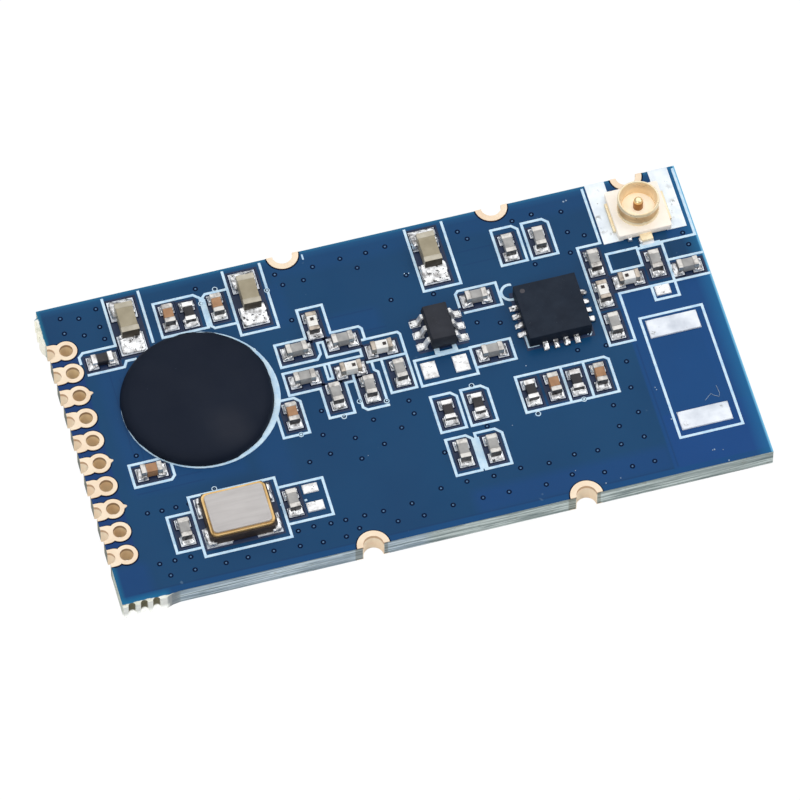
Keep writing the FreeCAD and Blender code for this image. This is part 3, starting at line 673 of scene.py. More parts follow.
# Dark finishes for the chips' end faces: painted shade.
TERMINAL_END_SHADE = solder_finish("chip_end_face_painted_shade", (116, 112, 110), (34, 32, 34), 0.3, 0.02, 0.4, 0.5)
TAN_END_SHADE = ceramic("tan_end_face_painted_shade", (84, 74, 56), (44, 38, 32), 1800, 0.3)
SPECKED = solder_finish("solder_on_small_land", (255, 255, 255), (190, 186, 182), 0.3, 0.015, 0.36, 0.4)
LEAD = solder_finish("switch_lead", (255, 255, 255), (170, 166, 162), 0.3, 0.01, 0.32, 0.4)
LEGEND = legend_white()
EPOXY = epoxy_black()
MOULD_RADIO = moulding("radio_moulding", (36, 45, 58), (26, 34, 47), 0.5, 0.14)
MOULD_SWITCH = moulding("switch_moulding", (48, 50, 58), (34, 36, 44))
TAN = ceramic("tan_ceramic", (170, 159, 134), (150, 139, 114), 1500)
BROWN = ceramic("brown_ceramic", (180, 136, 98), (158, 114, 78))
GREY = ceramic("grey_ceramic", (178, 176, 172), (152, 150, 148))
WHITE = ceramic("white_ceramic", (252, 250, 246), (238, 234, 226), 2600, 0.38, (200, 186, 160))
DARK = ceramic("resistor_glaze", (40, 34, 38), (20, 18, 22), 2600, 0.3, (80, 76, 80))
MARK_DARK = ceramic("polarity_mark", (58, 44, 38), (38, 28, 26), 6000, 0.4)
# Painted glow: the socket's moulding, and more strongly its floor inside the shell, glow with emission to lift their
# shade.
CREAM = ceramic("socket_moulding", (255, 250, 240), (255, 242, 226), 500, 0.35, (252, 234, 212), 0.12)
CREAM_INSIDE = ceramic("socket_floor", (255, 250, 236), (255, 240, 214), 500, 0.35, (252, 234, 212), 0.24)
CASE = ceramic("crystal_case", (64, 52, 46), (44, 36, 32), 2000, 0.5)
LID = lid_metal()
CLEARANCE = moulding("bare_laminate_gap", (8, 26, 58), (2, 12, 36), 0.6, 0.06)
VIA_RING = moulding("via_dimple", (4, 28, 62), (2, 18, 44), 0.5, 0.06)
VIA_DOT = ceramic("via_mask_plug", (84, 128, 166), (44, 88, 130), 9000, 0.3)
# Painted shade: a dark sheet laid round the foot of each part.
SHADE_UNDER_PARTS = ceramic("painted_shade_under_parts", (10, 40, 80), (6, 32, 66), 1200, 0.4)
FIBRE = ceramic("dust_fibre", (176, 194, 212), (124, 150, 178), 9000, 0.6)


def dress(piece, *finishes):
    """Give a piece its finishes, in the order of their slots."""
    piece.data.materials.clear()
    for finish in finishes:
        piece.data.materials.append(finish)
    return piece


def dress_by_face(piece, choose, *finishes):
    """Give each face of a piece the finish that its middle, in millimetres, and normal call for."""
    dress(piece, *finishes)
    for face in piece.data.polygons:
        face.material_index = choose(face.center / MM, face.normal)
    return piece


def top_or_side(at, out):
    """0 for the faces that look up or down, 1 for the walls."""
    return 0 if abs(out.z) > 0.9 else 1


def hand_in(name, pieces, finish, rounding=()):
    """Join small pieces into one, round its edges, and give it its finish and its place."""
    joined = gather(name, pieces)
    if rounding:
        soften(joined, *rounding)
    return place_in_shop(dress(joined, finish))


# The bare board and its plating keep the solids of the source


def dress_board_parts():
    """Finishes of the parts that show as the source has them."""

    # Walls in the holes and half holes take the shaded and the lit copies of the gold: painted shade and painted light.
    def pad_finish(at, out):
        return top_or_side(at, out) * (2 if at.x < LEFT + 0.45 else 1)

    def land_finish(at, out):
        return 1 if at.x > LEFT + 26 and at.y > FRONT + 12.95 else 0

    dress_by_face(nodes["board"], top_or_side, MASK, LAMINATE)
    dress_by_face(nodes["edge_pads"], pad_finish, GOLD_LAND, GOLD_WALL_SHADE, GOLD_HALF_LIT)
    dress_by_face(nodes["side_pads"], top_or_side, GOLD_LAND, GOLD_HALF_LIT)
    dress_by_face(nodes["component_lands"], land_finish, TINNED, GROUND)
    dress(nodes["legend_print"], LEGEND)
    dress(nodes["radio_terminals"], SOLDER)
    dress(nodes["switch_leads"], LEAD)
    dress(nodes["crystal_base"], CASE)


# Chip parts

CHIP_KINDS = {"brown_capacitor": 6, "resistor": 6, "grey_capacitor": 18, "inductor": 5, "large_capacitor": 3}


def chip_model(length, width, height, cap, body_finish, cap_finish, rounding, end_shade_finish=None):
    """A chip part along X with its foot at the origin: a body a little slimmer than its two capped ends, whose end
    faces take a dark finish as painted shade.
    """
    step = 0.02
    slimmer = 2.4 * step
    end, inner = length / 2, length / 2 - cap
    piece = block("chip_model", (0, 0, height / 2), (length, width, height))
    open_up(piece)
    for side in (-1, 1):
        for at in (inner, inner - step):
            slice_at((side * at, 0, 0), (1, 0, 0))
    choose_points(piece, lambda at: abs(at.x) < inner - step / 2)
    shrunk = (1, 1 - slimmer / width, 1 - slimmer / height)
    bpy.ops.transform.resize(value=shrunk, center_override=(0, 0, height / 2 * MM))
    put_down()

    # Slot 2, the end faces, takes the dark finish, painted shade.
    def chip_finish(at, out):
        if abs(out.x) > 0.9 and abs(at.x) > end - step:
            return 2
        return 1 if abs(at.x) > inner - step * 0.8 else 0

    dress_by_face(piece, chip_finish, body_finish, cap_finish, end_shade_finish or TERMINAL_END_SHADE)
    return soften(piece, rounding, 3)


def stand_chips(kind, model, tilt=1.5, shift=(0, 0, 0)):
    """One copy of the model for each part of its kind, each a touch out of line as the oven left it."""
    for number in range(1, CHIP_KINDS[kind] + 1):
        node = f"{kind}_{number}"
        where, turn = where_is(node)
        piece = copy_to(model, node + "_shown", where + Vector(shift), turn + dice.uniform(-tilt, tilt))
        place_in_shop(piece, node)
    throw_away(model)


def polarity_mark(number, shift):
    """Small dark square printed on top of a white inductor, off its middle."""
    mark = dress(soften(block("mark", (shift, 0, 0.487), (0.17, 0.17, 0.014)), 0.02), MARK_DARK)
    copy = copy_to(mark, "mark", *where_is(f"inductor_{number}"))
    throw_away(mark)
    return copy


def make_chips():
    """All the chip parts."""
    large = chip_model(1.62, 0.85, 0.8, 0.27, TAN, TERMINAL_TAN, 0.07, TAN_END_SHADE)
    stand_chips("large_capacitor", large, 0.8, (0.02, 0.07, 0))
    length, width, height, resistor_height = 1.0, 0.5, 0.5, 0.37
    for kind, *sizes in (
        ("brown_capacitor", height, 0.23, BROWN, TERMINAL, 0.035),
        ("resistor", resistor_height, 0.22, DARK, TERMINAL_BRIGHT, 0.03),
        ("grey_capacitor", height, 0.23, GREY, TERMINAL, 0.035),
        ("inductor", height, 0.2, WHITE, TERMINAL_WARM, 0.03),
    ):
        stand_chips(kind, chip_model(length, width, *sizes))
    marks = [polarity_mark(number, shift) for number, shift in enumerate((0.1, 0.14, 0.14, 0.12, -0.1), 1)]
    place_in_shop(gather("inductor_marks", marks))


# Solder


def flow(piece, cuts, foot, repeat=4):
    """Let solder flow: a finer mesh, smoothed above the level of its foot."""
    open_up(piece)
    choose_all()
    bpy.ops.mesh.subdivide(number_cuts=cuts)
    choose_points(piece, lambda at: at.z > foot)
    bpy.ops.mesh.vertices_smooth(factor=0.5, repeat=repeat)
    put_down()
    return piece


def mound(inner, outer, width, height, cuts=5):
    """Solder on one land along +X: high against the part's end face, running out flat at the toe."""
    piece = block("mound", ((inner + outer) / 2, 0, LAND_TOP + height / 2), (outer - inner, width, height))
    open_up(piece)
    choose_points(piece, lambda at: at.x > outer - 0.01 and at.z > LAND_TOP + 0.01)
    bpy.ops.transform.translate(value=(0, 0, -height * 0.72 * MM))
    return flow(piece, cuts, LAND_TOP + 0.005)


def lump(middle, size, cuts=5):
    """A lump of solder with a flat foot."""
    return flow(block("bead", middle, size), cuts, middle[2] - size[2] / 2 + 0.005)


def make_solder():
    """Every fillet and bead, joined, then made uneven all over."""
    small = mound(0.26, 0.7, 0.66, 0.24)
    large = mound(0.5, 1.48, 1.22, 0.34, 8)
    foot = mound(1.45, 1.86, 0.27, 0.17, 3)
    heel = mound(0.8, 1.22, 0.34, 0.12, 3)
    beads = []

    def drop(model, node, shift, turn, size=(1, 1, 1)):
        where = where_is(node)[0] + Vector(shift)
        where.z = 0
        beads.append(copy_to(model, "bead", where, turn, size))

    for kind, count in CHIP_KINDS.items():
        for number in range(1, count + 1):
            node = f"{kind}_{number}"
            for half in (0, 180):
                stretch = (1, dice.uniform(0.92, 1.02), dice.uniform(0.96, 1.0))
                drop(large if kind == "large_capacitor" else small, node, (0, 0, 0), where_is(node)[1] + half, stretch)
    for turn in (0, 90, 180, 270):
        for step in range(4):
            shift = Matrix.Rotation(math.radians(turn), 3, "Z") @ Vector((0, -0.75 + 0.5 * step, 0))
            drop(foot, "radio_body", shift, turn)
    for turn in (0, 180):
        for step in (-0.65, 0, 0.65):
            drop(heel, "switch_body", (0, step, 0), turn)
    for model in (small, large, foot, heel):
        throw_away(model)
    where = where_is("crystal_base")[0]
    for x in (-1.52, 1.52):
        for y in (-0.83, 0.83):
            beads.append(lump((where.x + x, where.y + y, 1.15), (0.5, 0.95, 0.22)))
    beads.append(lump(on_board(27.86, 12.93, 1.09), (0.22, 0.2, 0.18), 3))
    beads.append(lump(on_board(28.3, 12.7, 1.07), (0.16, 0.3, 0.14), 3))
    place_in_shop(dress(roughen(gather("solder_beads", beads), 0.13, 0.13), SOLDER), "solder_fillets")


def make_tinned_lands():
    """Solder skin on the lands that carry nothing, crowned a little and uneven."""
    sites = [
        (9.858, 3.706, 0.72, 0.48), (9.858, 2.722, 0.8, 0.52), (16.864, 8.43, 0.7, 0.9), (18.383, 8.43, 0.7, 0.9),
        (28.551, 9.84, 0.72, 0.54), (28.489, 7.888, 2.45, 1.0), (28.489, 2.69, 2.45, 1.0), (5.36, 1.93, 0.8, 0.12),
        (7.4, 1.84, 0.92, 0.12),
    ]
    skins = []
    for x, y, length, width in sites:
        skin = block("skin", on_board(x, y, LAND_TOP + 0.02), (length - 0.03, width - 0.03, 0.04))
        skins.append(flow(skin, 9, LAND_TOP + 0.03, 3))
    joined = roughen(gather("tinned_lands", skins), 0.3, 0.03, "Z")
    dress_by_face(joined, lambda at, out: 1 if at.x < LEFT + 25 or at.y > FRONT + 9.4 else 0, TINNED, SPECKED)
    place_in_shop(joined)


# Epoxy glob


def make_glob():
    """Low dome of epoxy, spread over the printed circle on its far left, with a slightly uneven rim."""
    middle = where_is("epoxy_glob")[0]
    outline = [
        (0, 1.0), (3.3, 1.0), (3.56, 1.0), (3.57, 1.06), (3.5, 1.28), (3.36, 1.46), (3.1, 1.6),
        (2.6, 1.73), (1.9, 1.83), (1.0, 1.9), (0.4, 1.925), (0, 1.93),
    ]
    dome = turned("glob_shown", outline, 72, closed=False)
    open_up(dome)
    spreads = [
        (-0.7, 0.7, (2.8, 1.925, 1.05), 1.011),
        (0.9, -0.3, (2.0, 2.9), 0.987),
        (0.7, 0.7, (2.5, 3.1), 1.012),
    ]
    for x, y, reaches, growth in spreads:
        for reach in reaches:
            choose_points(dome, lambda at: at.x * x + at.y * y > reach)
            bpy.ops.transform.resize(value=(growth, growth, 1), center_override=(0, 0, 0))
    put_down()
    move(dome, middle.x - 0.07, middle.y - 0.05)
    place_in_shop(dress(roughen(dome, 1.6, 0.06), EPOXY), "epoxy_glob")


# Radio chip, switch and crystal


def make_radio():
    """Radio chip: a plain moulded block with a shallow dimple at its first terminal."""
    where = where_is("radio_body")[0]
    piece = block("radio_shown", (where.x, where.y, LAND_TOP + 0.379), (2.99, 2.99, 0.718))
    open_up(piece)
    choose_faces(piece, faces_up)
    inset(0.012, 0.012)
    put_down()
    place_in_shop(dress(soften(piece, 0.025, 3), MOULD_RADIO), "radio_body")
    dimple = disc("radio_dimple", (where.x - 1.13, where.y + 1.13, LAND_TOP + 0.7502), 0.12, 24)
    open_up(dimple, "FACE")
    choose_all()
    bpy.ops.mesh.extrude_region_move(TRANSFORM_OT_translate={"value": (0, 0, 0.0008 * MM)})
    inset(0.03, -0.0006)
    put_down()
    place_in_shop(dress(dimple, moulding("radio_dimple_floor", (78, 76, 82), (62, 60, 66), 0.4)))


def make_switch():
    """Switch: a moulded block, slimmer at its foot and its top than at half height."""
    where = where_is("switch_body")[0]
    width, length, draft = 1.25, 2.0, 0.12
    low, high = LAND_TOP + 0.06, LAND_TOP + 0.9
    middle = (low + high) / 2
    piece = block("switch_shown", (where.x, where.y, middle), (width, length, high - low - 0.004))
    open_up(piece)
    slice_at((where.x, where.y, middle), (0, 0, 1))
    for level in (low, high):
        choose_points(piece, lambda at: abs(at.z - level) < 0.02)
        bpy.ops.transform.resize(
            value=(1 - draft / width, 1 - draft / length, 1),
            center_override=(where.x * MM, where.y * MM, level * MM),
        )
    put_down()
    place_in_shop(dress(soften(piece, 0.03, 3, 20), MOULD_SWITCH), "switch_body")


def make_crystal():
    """Crystal: gold seal ring with a seam-welded lid let into it."""
    where = where_is("crystal_seal_ring")[0]
    ring = block("seal_ring_shown", (where.x, where.y, where.z + 0.075), (3.04, 2.34, 0.148))
    open_up(ring)
    choose_faces(ring, faces_up)
    inset(0.13)
    bpy.ops.transform.translate(value=(0, 0, -0.03 * MM))
    put_down()
    place_in_shop(dress(soften(corners_round(ring, 0.3), 0.03), GOLD_RING), "crystal_seal_ring")
    where = where_is("crystal_lid")[0]
    lid = corners_round(block("lid_shown", (where.x, where.y, where.z + 0.02), (2.78, 2.08, 0.118)), 0.2)
    open_up(lid)
    choose_faces(lid, faces_up)
    inset(0.07)
    inset(0.03, -0.012)
    put_down()
    place_in_shop(dress(soften(lid, 0.02), LID), "crystal_lid")


def corners_round(piece, radius):
    """Round the upright corners of a plate."""
    open_up(piece, "EDGE")
    mesh = bmesh.from_edit_mesh(piece.data)
    for edge in mesh.edges:
        run = edge.verts[0].co - edge.verts[1].co
        edge.select_set(abs(run.z) > 0.9 * run.length)
    bmesh.update_edit_mesh(piece.data)
    bpy.ops.mesh.bevel(offset=radius * MM, segments=5, affect="EDGES", clamp_overlap=True)
    put_down()
    return piece


# Antenna socket


def make_socket():
    """Antenna socket: moulded base, turned gold shell and domed pin."""
    where = where_is("coax_base")[0]
    x, y = where.x, where.y

    def strip(name, middle, size):
        """A strip of sheet metal on the lands, from the socket's middle, with gold all over."""
        return dress(soften(block(name, (x + middle[0], y + middle[1], LAND_TOP + middle[2]), size), 0.02), GOLD_TURNED)

    base = corners_round(block("socket_base_shown", (x, y, LAND_TOP + 0.175), (2.59, 2.59, 0.348)), 0.1)
    place_in_shop(dress(soften(base, 0.03), CREAM), "coax_base")
    outline = [(0, 1.2), (0.82, 1.2), (0.82, 1.5), (0.76, 1.53), (0.3, 1.55), (0, 1.55)]
    place_in_shop(dress(move(turned("socket_floor", outline, 48, False), x, y), CREAM_INSIDE))
    outline = [
        (0.8, 1.38), (0.99, 1.38), (0.999, 1.42), (0.995, 1.52), (0.97, 1.6), (0.92, 1.65), (0.88, 1.7),
        (0.868, 1.8), (0.868, 1.95), (0.88, 2.02), (0.93, 2.06), (0.985, 2.085), (0.999, 2.12), (0.999, 2.21),
        (0.985, 2.255), (0.95, 2.285), (0.91, 2.28), (0.885, 2.24), (0.85, 2.13), (0.79, 2.0), (0.78, 1.9),
    ]
    shell = turned("socket_shell_shown", outline, 96)
    open_up(shell, "FACE")
    choose_faces(shell, lambda at, out: out.y < -0.6 and at.y < -0.8 and -0.01 < at.x < 0.07 and 1.4 < at.z < 2.06)
    bpy.ops.transform.translate(value=(0, 0.035 * MM, 0))
    put_down()
    move(shell, x, y)

    # Painted shade: the groove band and the inside wall take the darker copies of the gold.
    def shell_finish(at, out):
        reach = math.hypot(at.x - x, at.y - y)
        if reach < 0.88 and at.z > 1.6 and (at.x - x) * out.x + (at.y - y) * out.y < 0:
            return 2
        return 1 if 1.6 < at.z < 2.07 else 0

    straps = [dress_by_face(shell, shell_finish, GOLD_TURNED, GOLD_GROOVE_SHADE, GOLD_INNER_SHADE)]
    for side in (-1, 1):
        straps.append(strip("strap", (side * 1.36, 0, 0.075), (0.13, 1.6, 0.148)))
        straps.append(strip("strap", (side * 1.2, 0, 0.06), (0.34, 0.42, 0.118)))
    place_in_shop(gather("socket_ground_shown", straps), "coax_shell")
    outline = [
        (0, 1.1), (0.238, 1.1), (0.238, 1.9), (0.225, 1.97), (0.21, 2.02), (0.21, 2.06), (0.195, 2.11),
        (0.16, 2.155), (0.1, 2.183), (0.04, 2.189), (0, 2.19),
    ]
    pin = move(turned("socket_pin_shown", outline, 40, False), x, y)
    # Below the dome the pin takes the darker gold, painted shade.
    dress_by_face(pin, lambda at, out: 0 if at.z > 2.03 else 1, GOLD_BRIGHT, GOLD_SHANK_SHADE)
    tail = strip("tail", (0, -1.4, 0.075), (0.58, 0.5, 0.148))
    place_in_shop(gather("socket_contact_shown", [pin, tail]), "coax_contact")


# Small marks on the board

TENTED_VIAS = [
    (2.18, 1.62), (2.9, 1.62), (3.65, 1.62), (8.75, 1.65), (9.5, 1.7), (10.3, 1.65), (11, 1.65), (11.9, 1.65),
    (12.8, 1.65), (14.17, 1.7), (15.67, 2.13), (16.92, 2.17), (18.2, 2.13), (19.5, 2.22), (20.84, 2.13),
    (22.09, 2.27), (23.19, 2.2), (24.33, 2.23), (25.47, 2.35), (2.52, 0.9), (3.67, 0.9), (5.13, 0.88), (6.17, 0.9),
    (7.4, 0.92), (8.63, 0.85), (9.7, 0.77), (10.8, 0.78), (11.5, 1.05), (13.3, 0.95), (14.54, 0.93), (15.97, 1.12),
    (17.4, 1.13), (18.64, 1.12), (20.4, 1.05), (21.7, 1.25), (23.17, 0.98), (24.5, 0.95), (25.57, 0.95),
    (2.31, 4.39), (2.99, 4.35), (3.65, 4.36), (4.28, 4.38), (2.58, 7.53), (10.21, 5.09), (11.25, 5.27),
    (11.18, 6.35), (12.58, 5.8), (12.58, 4.64), (13.79, 5.13), (13.65, 6.53), (14.79, 5.77), (15.55, 6.36),
    (15.5, 7.1), (11.45, 7.63), (16.35, 3.95), (18.62, 4.8), (19.7, 10.4), (20.74, 10.1), (23.8, 7.7), (25.15, 7.6),
    (25.82, 6.5), (25.62, 5.08), (24.57, 4.36), (25.58, 3.7), (24.52, 3.2), (1.85, 15.5), (2.74, 15.8), (1, 14.87),
    (1.87, 14.53), (2.68, 14.8), (2.74, 14.1), (7.5, 15.66), (11.28, 15.45), (11.5, 14.8), (12.5, 14.8),
    (13.1, 15.4), (14.45, 15.5), (15.7, 15.5), (15.1, 14.8), (11.4, 12.8), (16.66, 15.6), (17.2, 13.8),
    (20.16, 15.5), (20.5, 15), (16.16, 12.66), (18.16, 12.45), (22.8, 15.4), (23.19, 12.79), (25.16, 15.3),
    (25.85, 13.74), (30.35, 12.66), (1.01, 15.71), (23.77, 15.52), (25.14, 14.12), (24.96, 12.98), (30.44, 11.97),
]
PRINTED_VIAS = [
    (8.37, 15.4), (7.55, 14.8), (9.24, 11.66), (10.7, 14.7), (9.4, 8.55), (10.21, 6.63), (12.38, 7.05),
    (13.29, 7.66), (14.5, 7.35), (18.52, 7.12), (21.08, 4.83), (23.35, 5.03), (5.6, 4.85),
]


def via_model(radius, steps):
    """A small via under its mask: rings one inside the other, each with its width and its rise."""
    piece = disc("via", (0, 0, BOARD_TOP + 0.002), radius, 14)
    open_up(piece, "FACE")
    choose_all()
    for width, rise in steps:
        inset(width, rise)
    take(piece)
    bpy.ops.object.shade_smooth()
    return piece


def stand_vias(name, model, places):
    """A copy of the model at each place, joined."""
    vias = [copy_to(model, "via", on_board(x, y, 0)) for x, y in places]
    throw_away(model)
    place_in_shop(gather(name, vias))


def make_vias():
    """All the vias, those under print with a thin white ring."""
    dot, print_rim = 0.02, 0.096
    model = via_model(0.128, ((0.03, 0.012), (0.05, -0.009)))
    dress_by_face(model, lambda at, out: 1 if at.xy.length < dot else 0, VIA_RING, VIA_DOT)
    stand_vias("tented_vias", model, TENTED_VIAS)

    def printed_finish(at, out):
        return 0 if at.xy.length > print_rim else (1 if at.xy.length > dot else 2)

    model = via_model(0.138, ((0.012, 0.024), (0.034, 0), (0.06, -0.012)))
    dress_by_face(model, printed_finish, LEGEND, VIA_RING, VIA_DOT)
    stand_vias("printed_vias", model, PRINTED_VIAS)


def stroke(start, end, width, proud):
    """A straight stroke on the board from start to end, a hair proud of it."""
    run = Vector((end[0] - start[0], end[1] - start[1], 0))
    bar = block("stroke", (0, 0, BOARD_TOP + (proud - SUNK) / 2), (run.length, width, SUNK + proud))
    middle = on_board((start[0] + end[0]) / 2, (start[1] + end[1]) / 2, 0)
    laid = copy_to(bar, "stroke", middle, math.degrees(math.atan2(run.y, run.x)))
    throw_away(bar)
    return laid


def make_print_extras():
    """Print the source leaves out: a thick mark, filled gaps between frames, stray bits, the ring round the glob."""
    strokes = [
        ((17.55, 9.66), (17.5, 9.16), 0.17), ((18.34, 9.66), (18.38, 9.16), 0.17), ((17.42, 9.2), (18.45, 9.2), 0.22),
        ((7.67, 15.0), (7.67, 13.5), 0.24), ((17.94, 4.35), (17.94, 2.62), 0.3),
        ((28.2, 12.46), (29.2, 12.46), 0.2), ((12.78, 15.9), (12.78, 16.2), 0.08),
        ((24.3, 8.53), (24.45, 8.5), 0.07), ((24.6, 8.32), (24.72, 8.5), 0.06), ((24.48, 8.4), (24.54, 8.43), 0.05),
        ((9.44, 3.13), (9.57, 3.16), 0.1), ((8.3, 3.18), (8.38, 3.24), 0.08), ((8.36, 3.02), (8.4, 3.1), 0.05),
        ((17.12, 13.9), (17.17, 13.9), 0.05), ((17.32, 13.86), (17.37, 13.88), 0.05),
    ]
    # Strokes that cross differ in height, or their tops would show black where they meet
    laid = [stroke(*strokes[number], 0.024 + 0.001 * (number % 3)) for number in range(len(strokes))]
    joined = dress(soften(gather("print_extras", laid), 0.012), LEGEND)
    middle = where_is("epoxy_glob")[0]
    swell = dress(open_ring((middle.x, middle.y), 3.3, 3.716, 96, [], 0.025), LEGEND)
    place_in_shop(gather("print_extras", [joined, swell]))


def make_pad_tips():
    """Short gold point at the pads where a trace leaves them."""
    tips = []
    for number in (2, 4, 7):
        y = edge_pad_y(number)
        tip = block("tip", (LEFT + 1.37, y, BOARD_TOP + 0.016), (0.26, 0.4, 0.054))
        open_up(tip)
        choose_points(tip, lambda at: at.x > LEFT + 1.4)
        bpy.ops.transform.resize(value=(1, 0.12, 1), center_override=(0, y * MM, 0))
        tips.append(tip)
    hand_in("pad_tips", tips, GOLD_LAND, (0.008, 2))


def make_dust():
    """A fibre in the antenna's box, and the few grains of dust that show."""
    path = [(28.74, 3.49), (28.88, 3.6), (29.1, 3.78), (29.2, 3.66), (29.42, 3.52), (29.5, 3.7), (29.46, 4.15)]
    bits = [stroke(start, end, 0.022, 0.03) for start, end in zip(path, path[1:])]
    grains = [
        (28.4, 0.81, 0.07), (28.31, 0.8, 0.05), (28.78, 0.7, 0.04), (23.07, 0.38, 0.06), (23.8, 0.47, 0.05),
        (26.7, 4.77, 0.05), (26.73, 4.64, 0.05), (26.95, 2.92, 0.07), (28.88, 0.07, 0.07), (21.25, 7.49, 0.05),
        (19.76, 4.53, 0.04), (25.42, 15.8, 0.08), (25.56, 15.83, 0.07), (12.9, 4.7, 0.04), (21.9, 1.4, 0.04),
    ]
    bits += [stroke((x - size / 2, y), (x + size / 2, y + 0.02), size, 0.02) for x, y, size in grains]
    hand_in("dust", bits, FIBRE, (0.008, 1))


def thin_plate(where, length, width, proud, turn):
    """Thin plate let into the board's top and a hair proud of it."""
    size = (width, length, SUNK + proud) if turn else (length, width, SUNK + proud)
    return block("plate", (where.x, where.y, BOARD_TOP + (proud - SUNK) / 2), size)


def make_clearances():
    """Dark line where the mask stops short of each land, and a dark plate round the foot of each part as painted shade.
    """
    gap, gap_proud = 0.05, 0.008
    shade_margin, shade_proud = 0.15, 0.004
    gaps, shade_plates = [], []
    for kind, count in CHIP_KINDS.items():
        span, width, land = (3.04, 1.26, 1.1) if kind == "large_capacitor" else (1.44, 0.7, 0.5)
        for number in range(1, count + 1):
            where, turn = where_is(f"{kind}_{number}")
            shade_plates.append(thin_plate(where, span + 2 * shade_margin, width + 2 * shade_margin, shade_proud, turn))
            for shift in (-(span - land) / 2, (span - land) / 2):
                middle = where + (Vector((0, shift, 0)) if turn else Vector((shift, 0, 0)))
                gaps.append(thin_plate(middle, land + 2 * gap, width + 2 * gap, gap_proud, turn))
    for node, length, width in (("radio_body", 3.3, 3.3), ("switch_body", 2.4, 1.95), ("crystal_base", 3.8, 2.9)):
        shade_plates.append(thin_plate(where_is(node)[0], length, width, shade_proud, 0))
    hand_in("mask_clearances", gaps, CLEARANCE, (0.02, 2))
    hand_in("shade_plates_under_parts", shade_plates, SHADE_UNDER_PARTS, (0.02, 2))


def open_ring(middle, inner, outer, sides, cuts, proud=0.004):
    """Flat ring just over the board, cut off along each given line on the side it points to."""
    depth = 0.006
    rim = disc("rim", (*middle, BOARD_TOP + proud), outer, sides)
    open_up(rim, "FACE")
    choose_all()
    inset(outer - inner)
    bpy.ops.mesh.delete(type="FACE")
    for x, y, out_x, out_y in cuts:
        slice_at((x, y, 0), (out_x, out_y, 0), True)
    choose_all()
    bpy.ops.mesh.extrude_region_move(TRANSFORM_OT_translate={"value": (0, 0, -(proud + depth) * MM)})
    choose_all()
    bpy.ops.mesh.normals_make_consistent(inside=False)
    put_down()
    return rim


def make_pad_clearances():
    """Dark line round each edge pad and each half hole of the long edges."""
    line = 0.09
    ring, lobe, half_ring = 0.49, 0.44, 0.74
    hole, meeting, lobe_middle = LEFT + 0.84, LEFT + 0.498, LEFT + 0.25
    rims = []
    for number in range(10):
        y = edge_pad_y(number)
        rims.append(open_ring((hole, y), ring, ring + line, 40, [(meeting, y, -1, 0)]))
        rims.append(open_ring((lobe_middle, y), lobe, lobe + line, 40, [(meeting, y, 1, 0), (LEFT, y, -1, 0)]))
    sites = [(x, edge, out) for x in HALF_HOLES_FRONT for edge, out in ((FRONT, -1), (BACK, 1))]
    for x, edge, out in sites + [(HALF_HOLE_AT_SOCKET, BACK, 1)]:
        rims.append(open_ring((LEFT + x, edge), half_ring, half_ring + line, 56, [(LEFT + x, edge, 0, out)]))
    hand_in("pad_clearances", rims, CLEARANCE)


# Stage


def direction(azimuth, elevation):
    """The way from the module to a place round it, in degrees: azimuth 0 is in front, 90 at its right."""
    turn, rise = math.radians(azimuth), math.radians(elevation)
    return Vector((math.sin(turn) * math.cos(rise), -math.cos(turn) * math.cos(rise), math.sin(rise)))


def aim(name, data, place, back):
    """A lamp or camera at its place, with its back in the direction given."""
    made = bpy.data.objects.new(name, data)
    bpy.context.collection.objects.link(made)
    made.location = place
    made.rotation_euler = (-back).to_track_quat("-Z", "Y").to_euler()
    return made


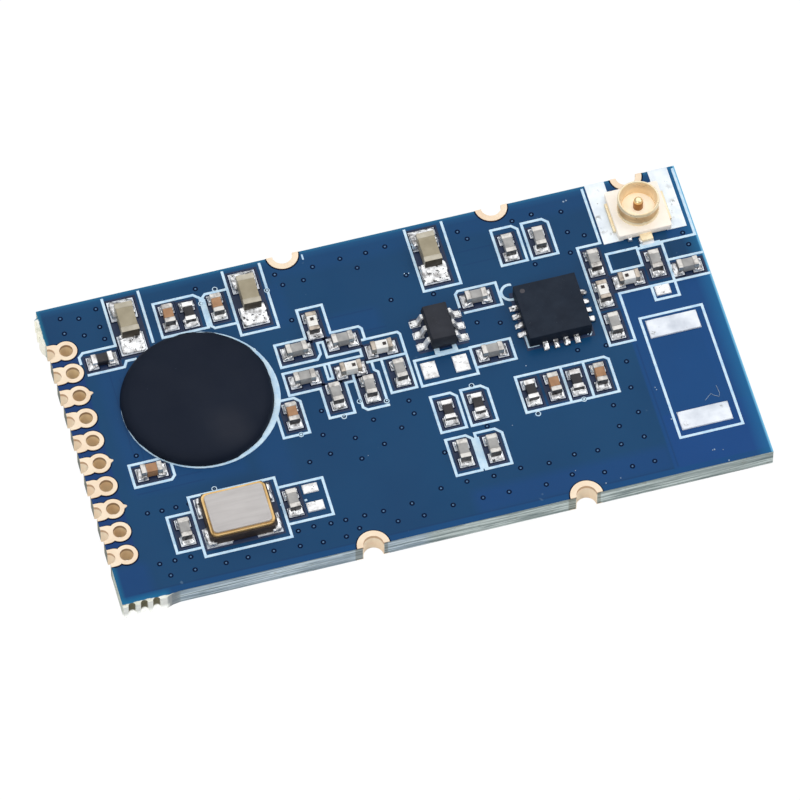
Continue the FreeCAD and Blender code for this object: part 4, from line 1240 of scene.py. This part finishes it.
def lay_floor():
    """Pale floor, evenly bright where it is seen or mirrored."""
    put_down()
    bpy.ops.mesh.primitive_plane_add(size=6, location=(0, 0, 0))
    floor = bpy.context.object
    floor.name = "floor"
    made = Finish("pale_floor", Base_Color=(0.86, 0.86, 0.86, 1), Roughness=0.9, Specular_IOR_Level=0.1)
    glow = made.add("Emission", Strength=1.04)
    ray = made.add("LightPath").outputs
    seen = made.sum("MAXIMUM", ray["Is Camera Ray"], ray["Is Glossy Ray"])
    seen = made.sum("MAXIMUM", seen, ray["Is Transmission Ray"])
    mix = made.add("MixShader", made.sum("MULTIPLY", seen, 0.93), made.surface.outputs[0], glow.outputs[0])
    made.feed(made.tree.nodes["Material Output"].inputs["Surface"], mix.outputs[0])
    dress(floor, made.made)


def light_room():
    """A soft room, darker low down, and three lamps."""
    world = bpy.data.worlds.new("soft_room")
    bpy.context.scene.world = world
    world.use_nodes = True
    made = Wiring(world.node_tree)
    sky = made.tree.nodes["Background"].inputs
    height = made.add("SeparateXYZ", made.add("TexCoord").outputs["Generated"]).outputs[2]
    rise = made.add("MapRange", height, From_Min=0.2, From_Max=0.75).outputs[0]
    made.feed(sky["Color"], made.mix(rise, (0.1, 0.11, 0.13, 1), (0.95, 0.97, 1.0, 1)))
    made.feed(sky["Strength"], 0.7)
    lamps = [
        ("lamp_back", 160, 60, 0.75, 1.0, 2.3),
        ("lamp_right", 75, 42, 0.8, 0.5, 1.3),
        ("lamp_front_left", -45, 38, 0.8, 0.5, 1.5),
    ]
    for name, azimuth, elevation, distance, size, power in lamps:
        back = direction(azimuth, elevation)
        lamp = aim(name, bpy.data.lights.new(name, "AREA"), back * distance, back)
        lamp.data.size = size
        lamp.data.energy = power


def stand_camera():
    """The camera where the photograph was taken from, moved aside and down a little as the photo is framed."""
    azimuth, elevation, distance = -15.30, 58.11, 371.1
    aside, down = 0.122, 0.870
    back, right = direction(azimuth, elevation), direction(azimuth + 90, 0)
    place = Vector((0, 0, BOARD_TOP)) + back * distance - right * aside - back.cross(right) * down
    camera = aim("camera", bpy.data.cameras.new("camera"), place * MM, back)
    camera.data.lens = 360
    camera.data.sensor_width = 36
    camera.data.clip_start = 0.01
    bpy.context.scene.camera = camera
    bpy.context.scene.view_settings.view_transform = "Standard"


dress_board_parts()
make_clearances()
make_pad_clearances()
make_chips()
make_solder()
make_tinned_lands()
make_glob()
make_radio()
make_switch()
make_crystal()
make_socket()
make_vias()
make_print_extras()
make_pad_tips()
make_dust()
lay_floor()
light_room()
stand_camera()
put_down()
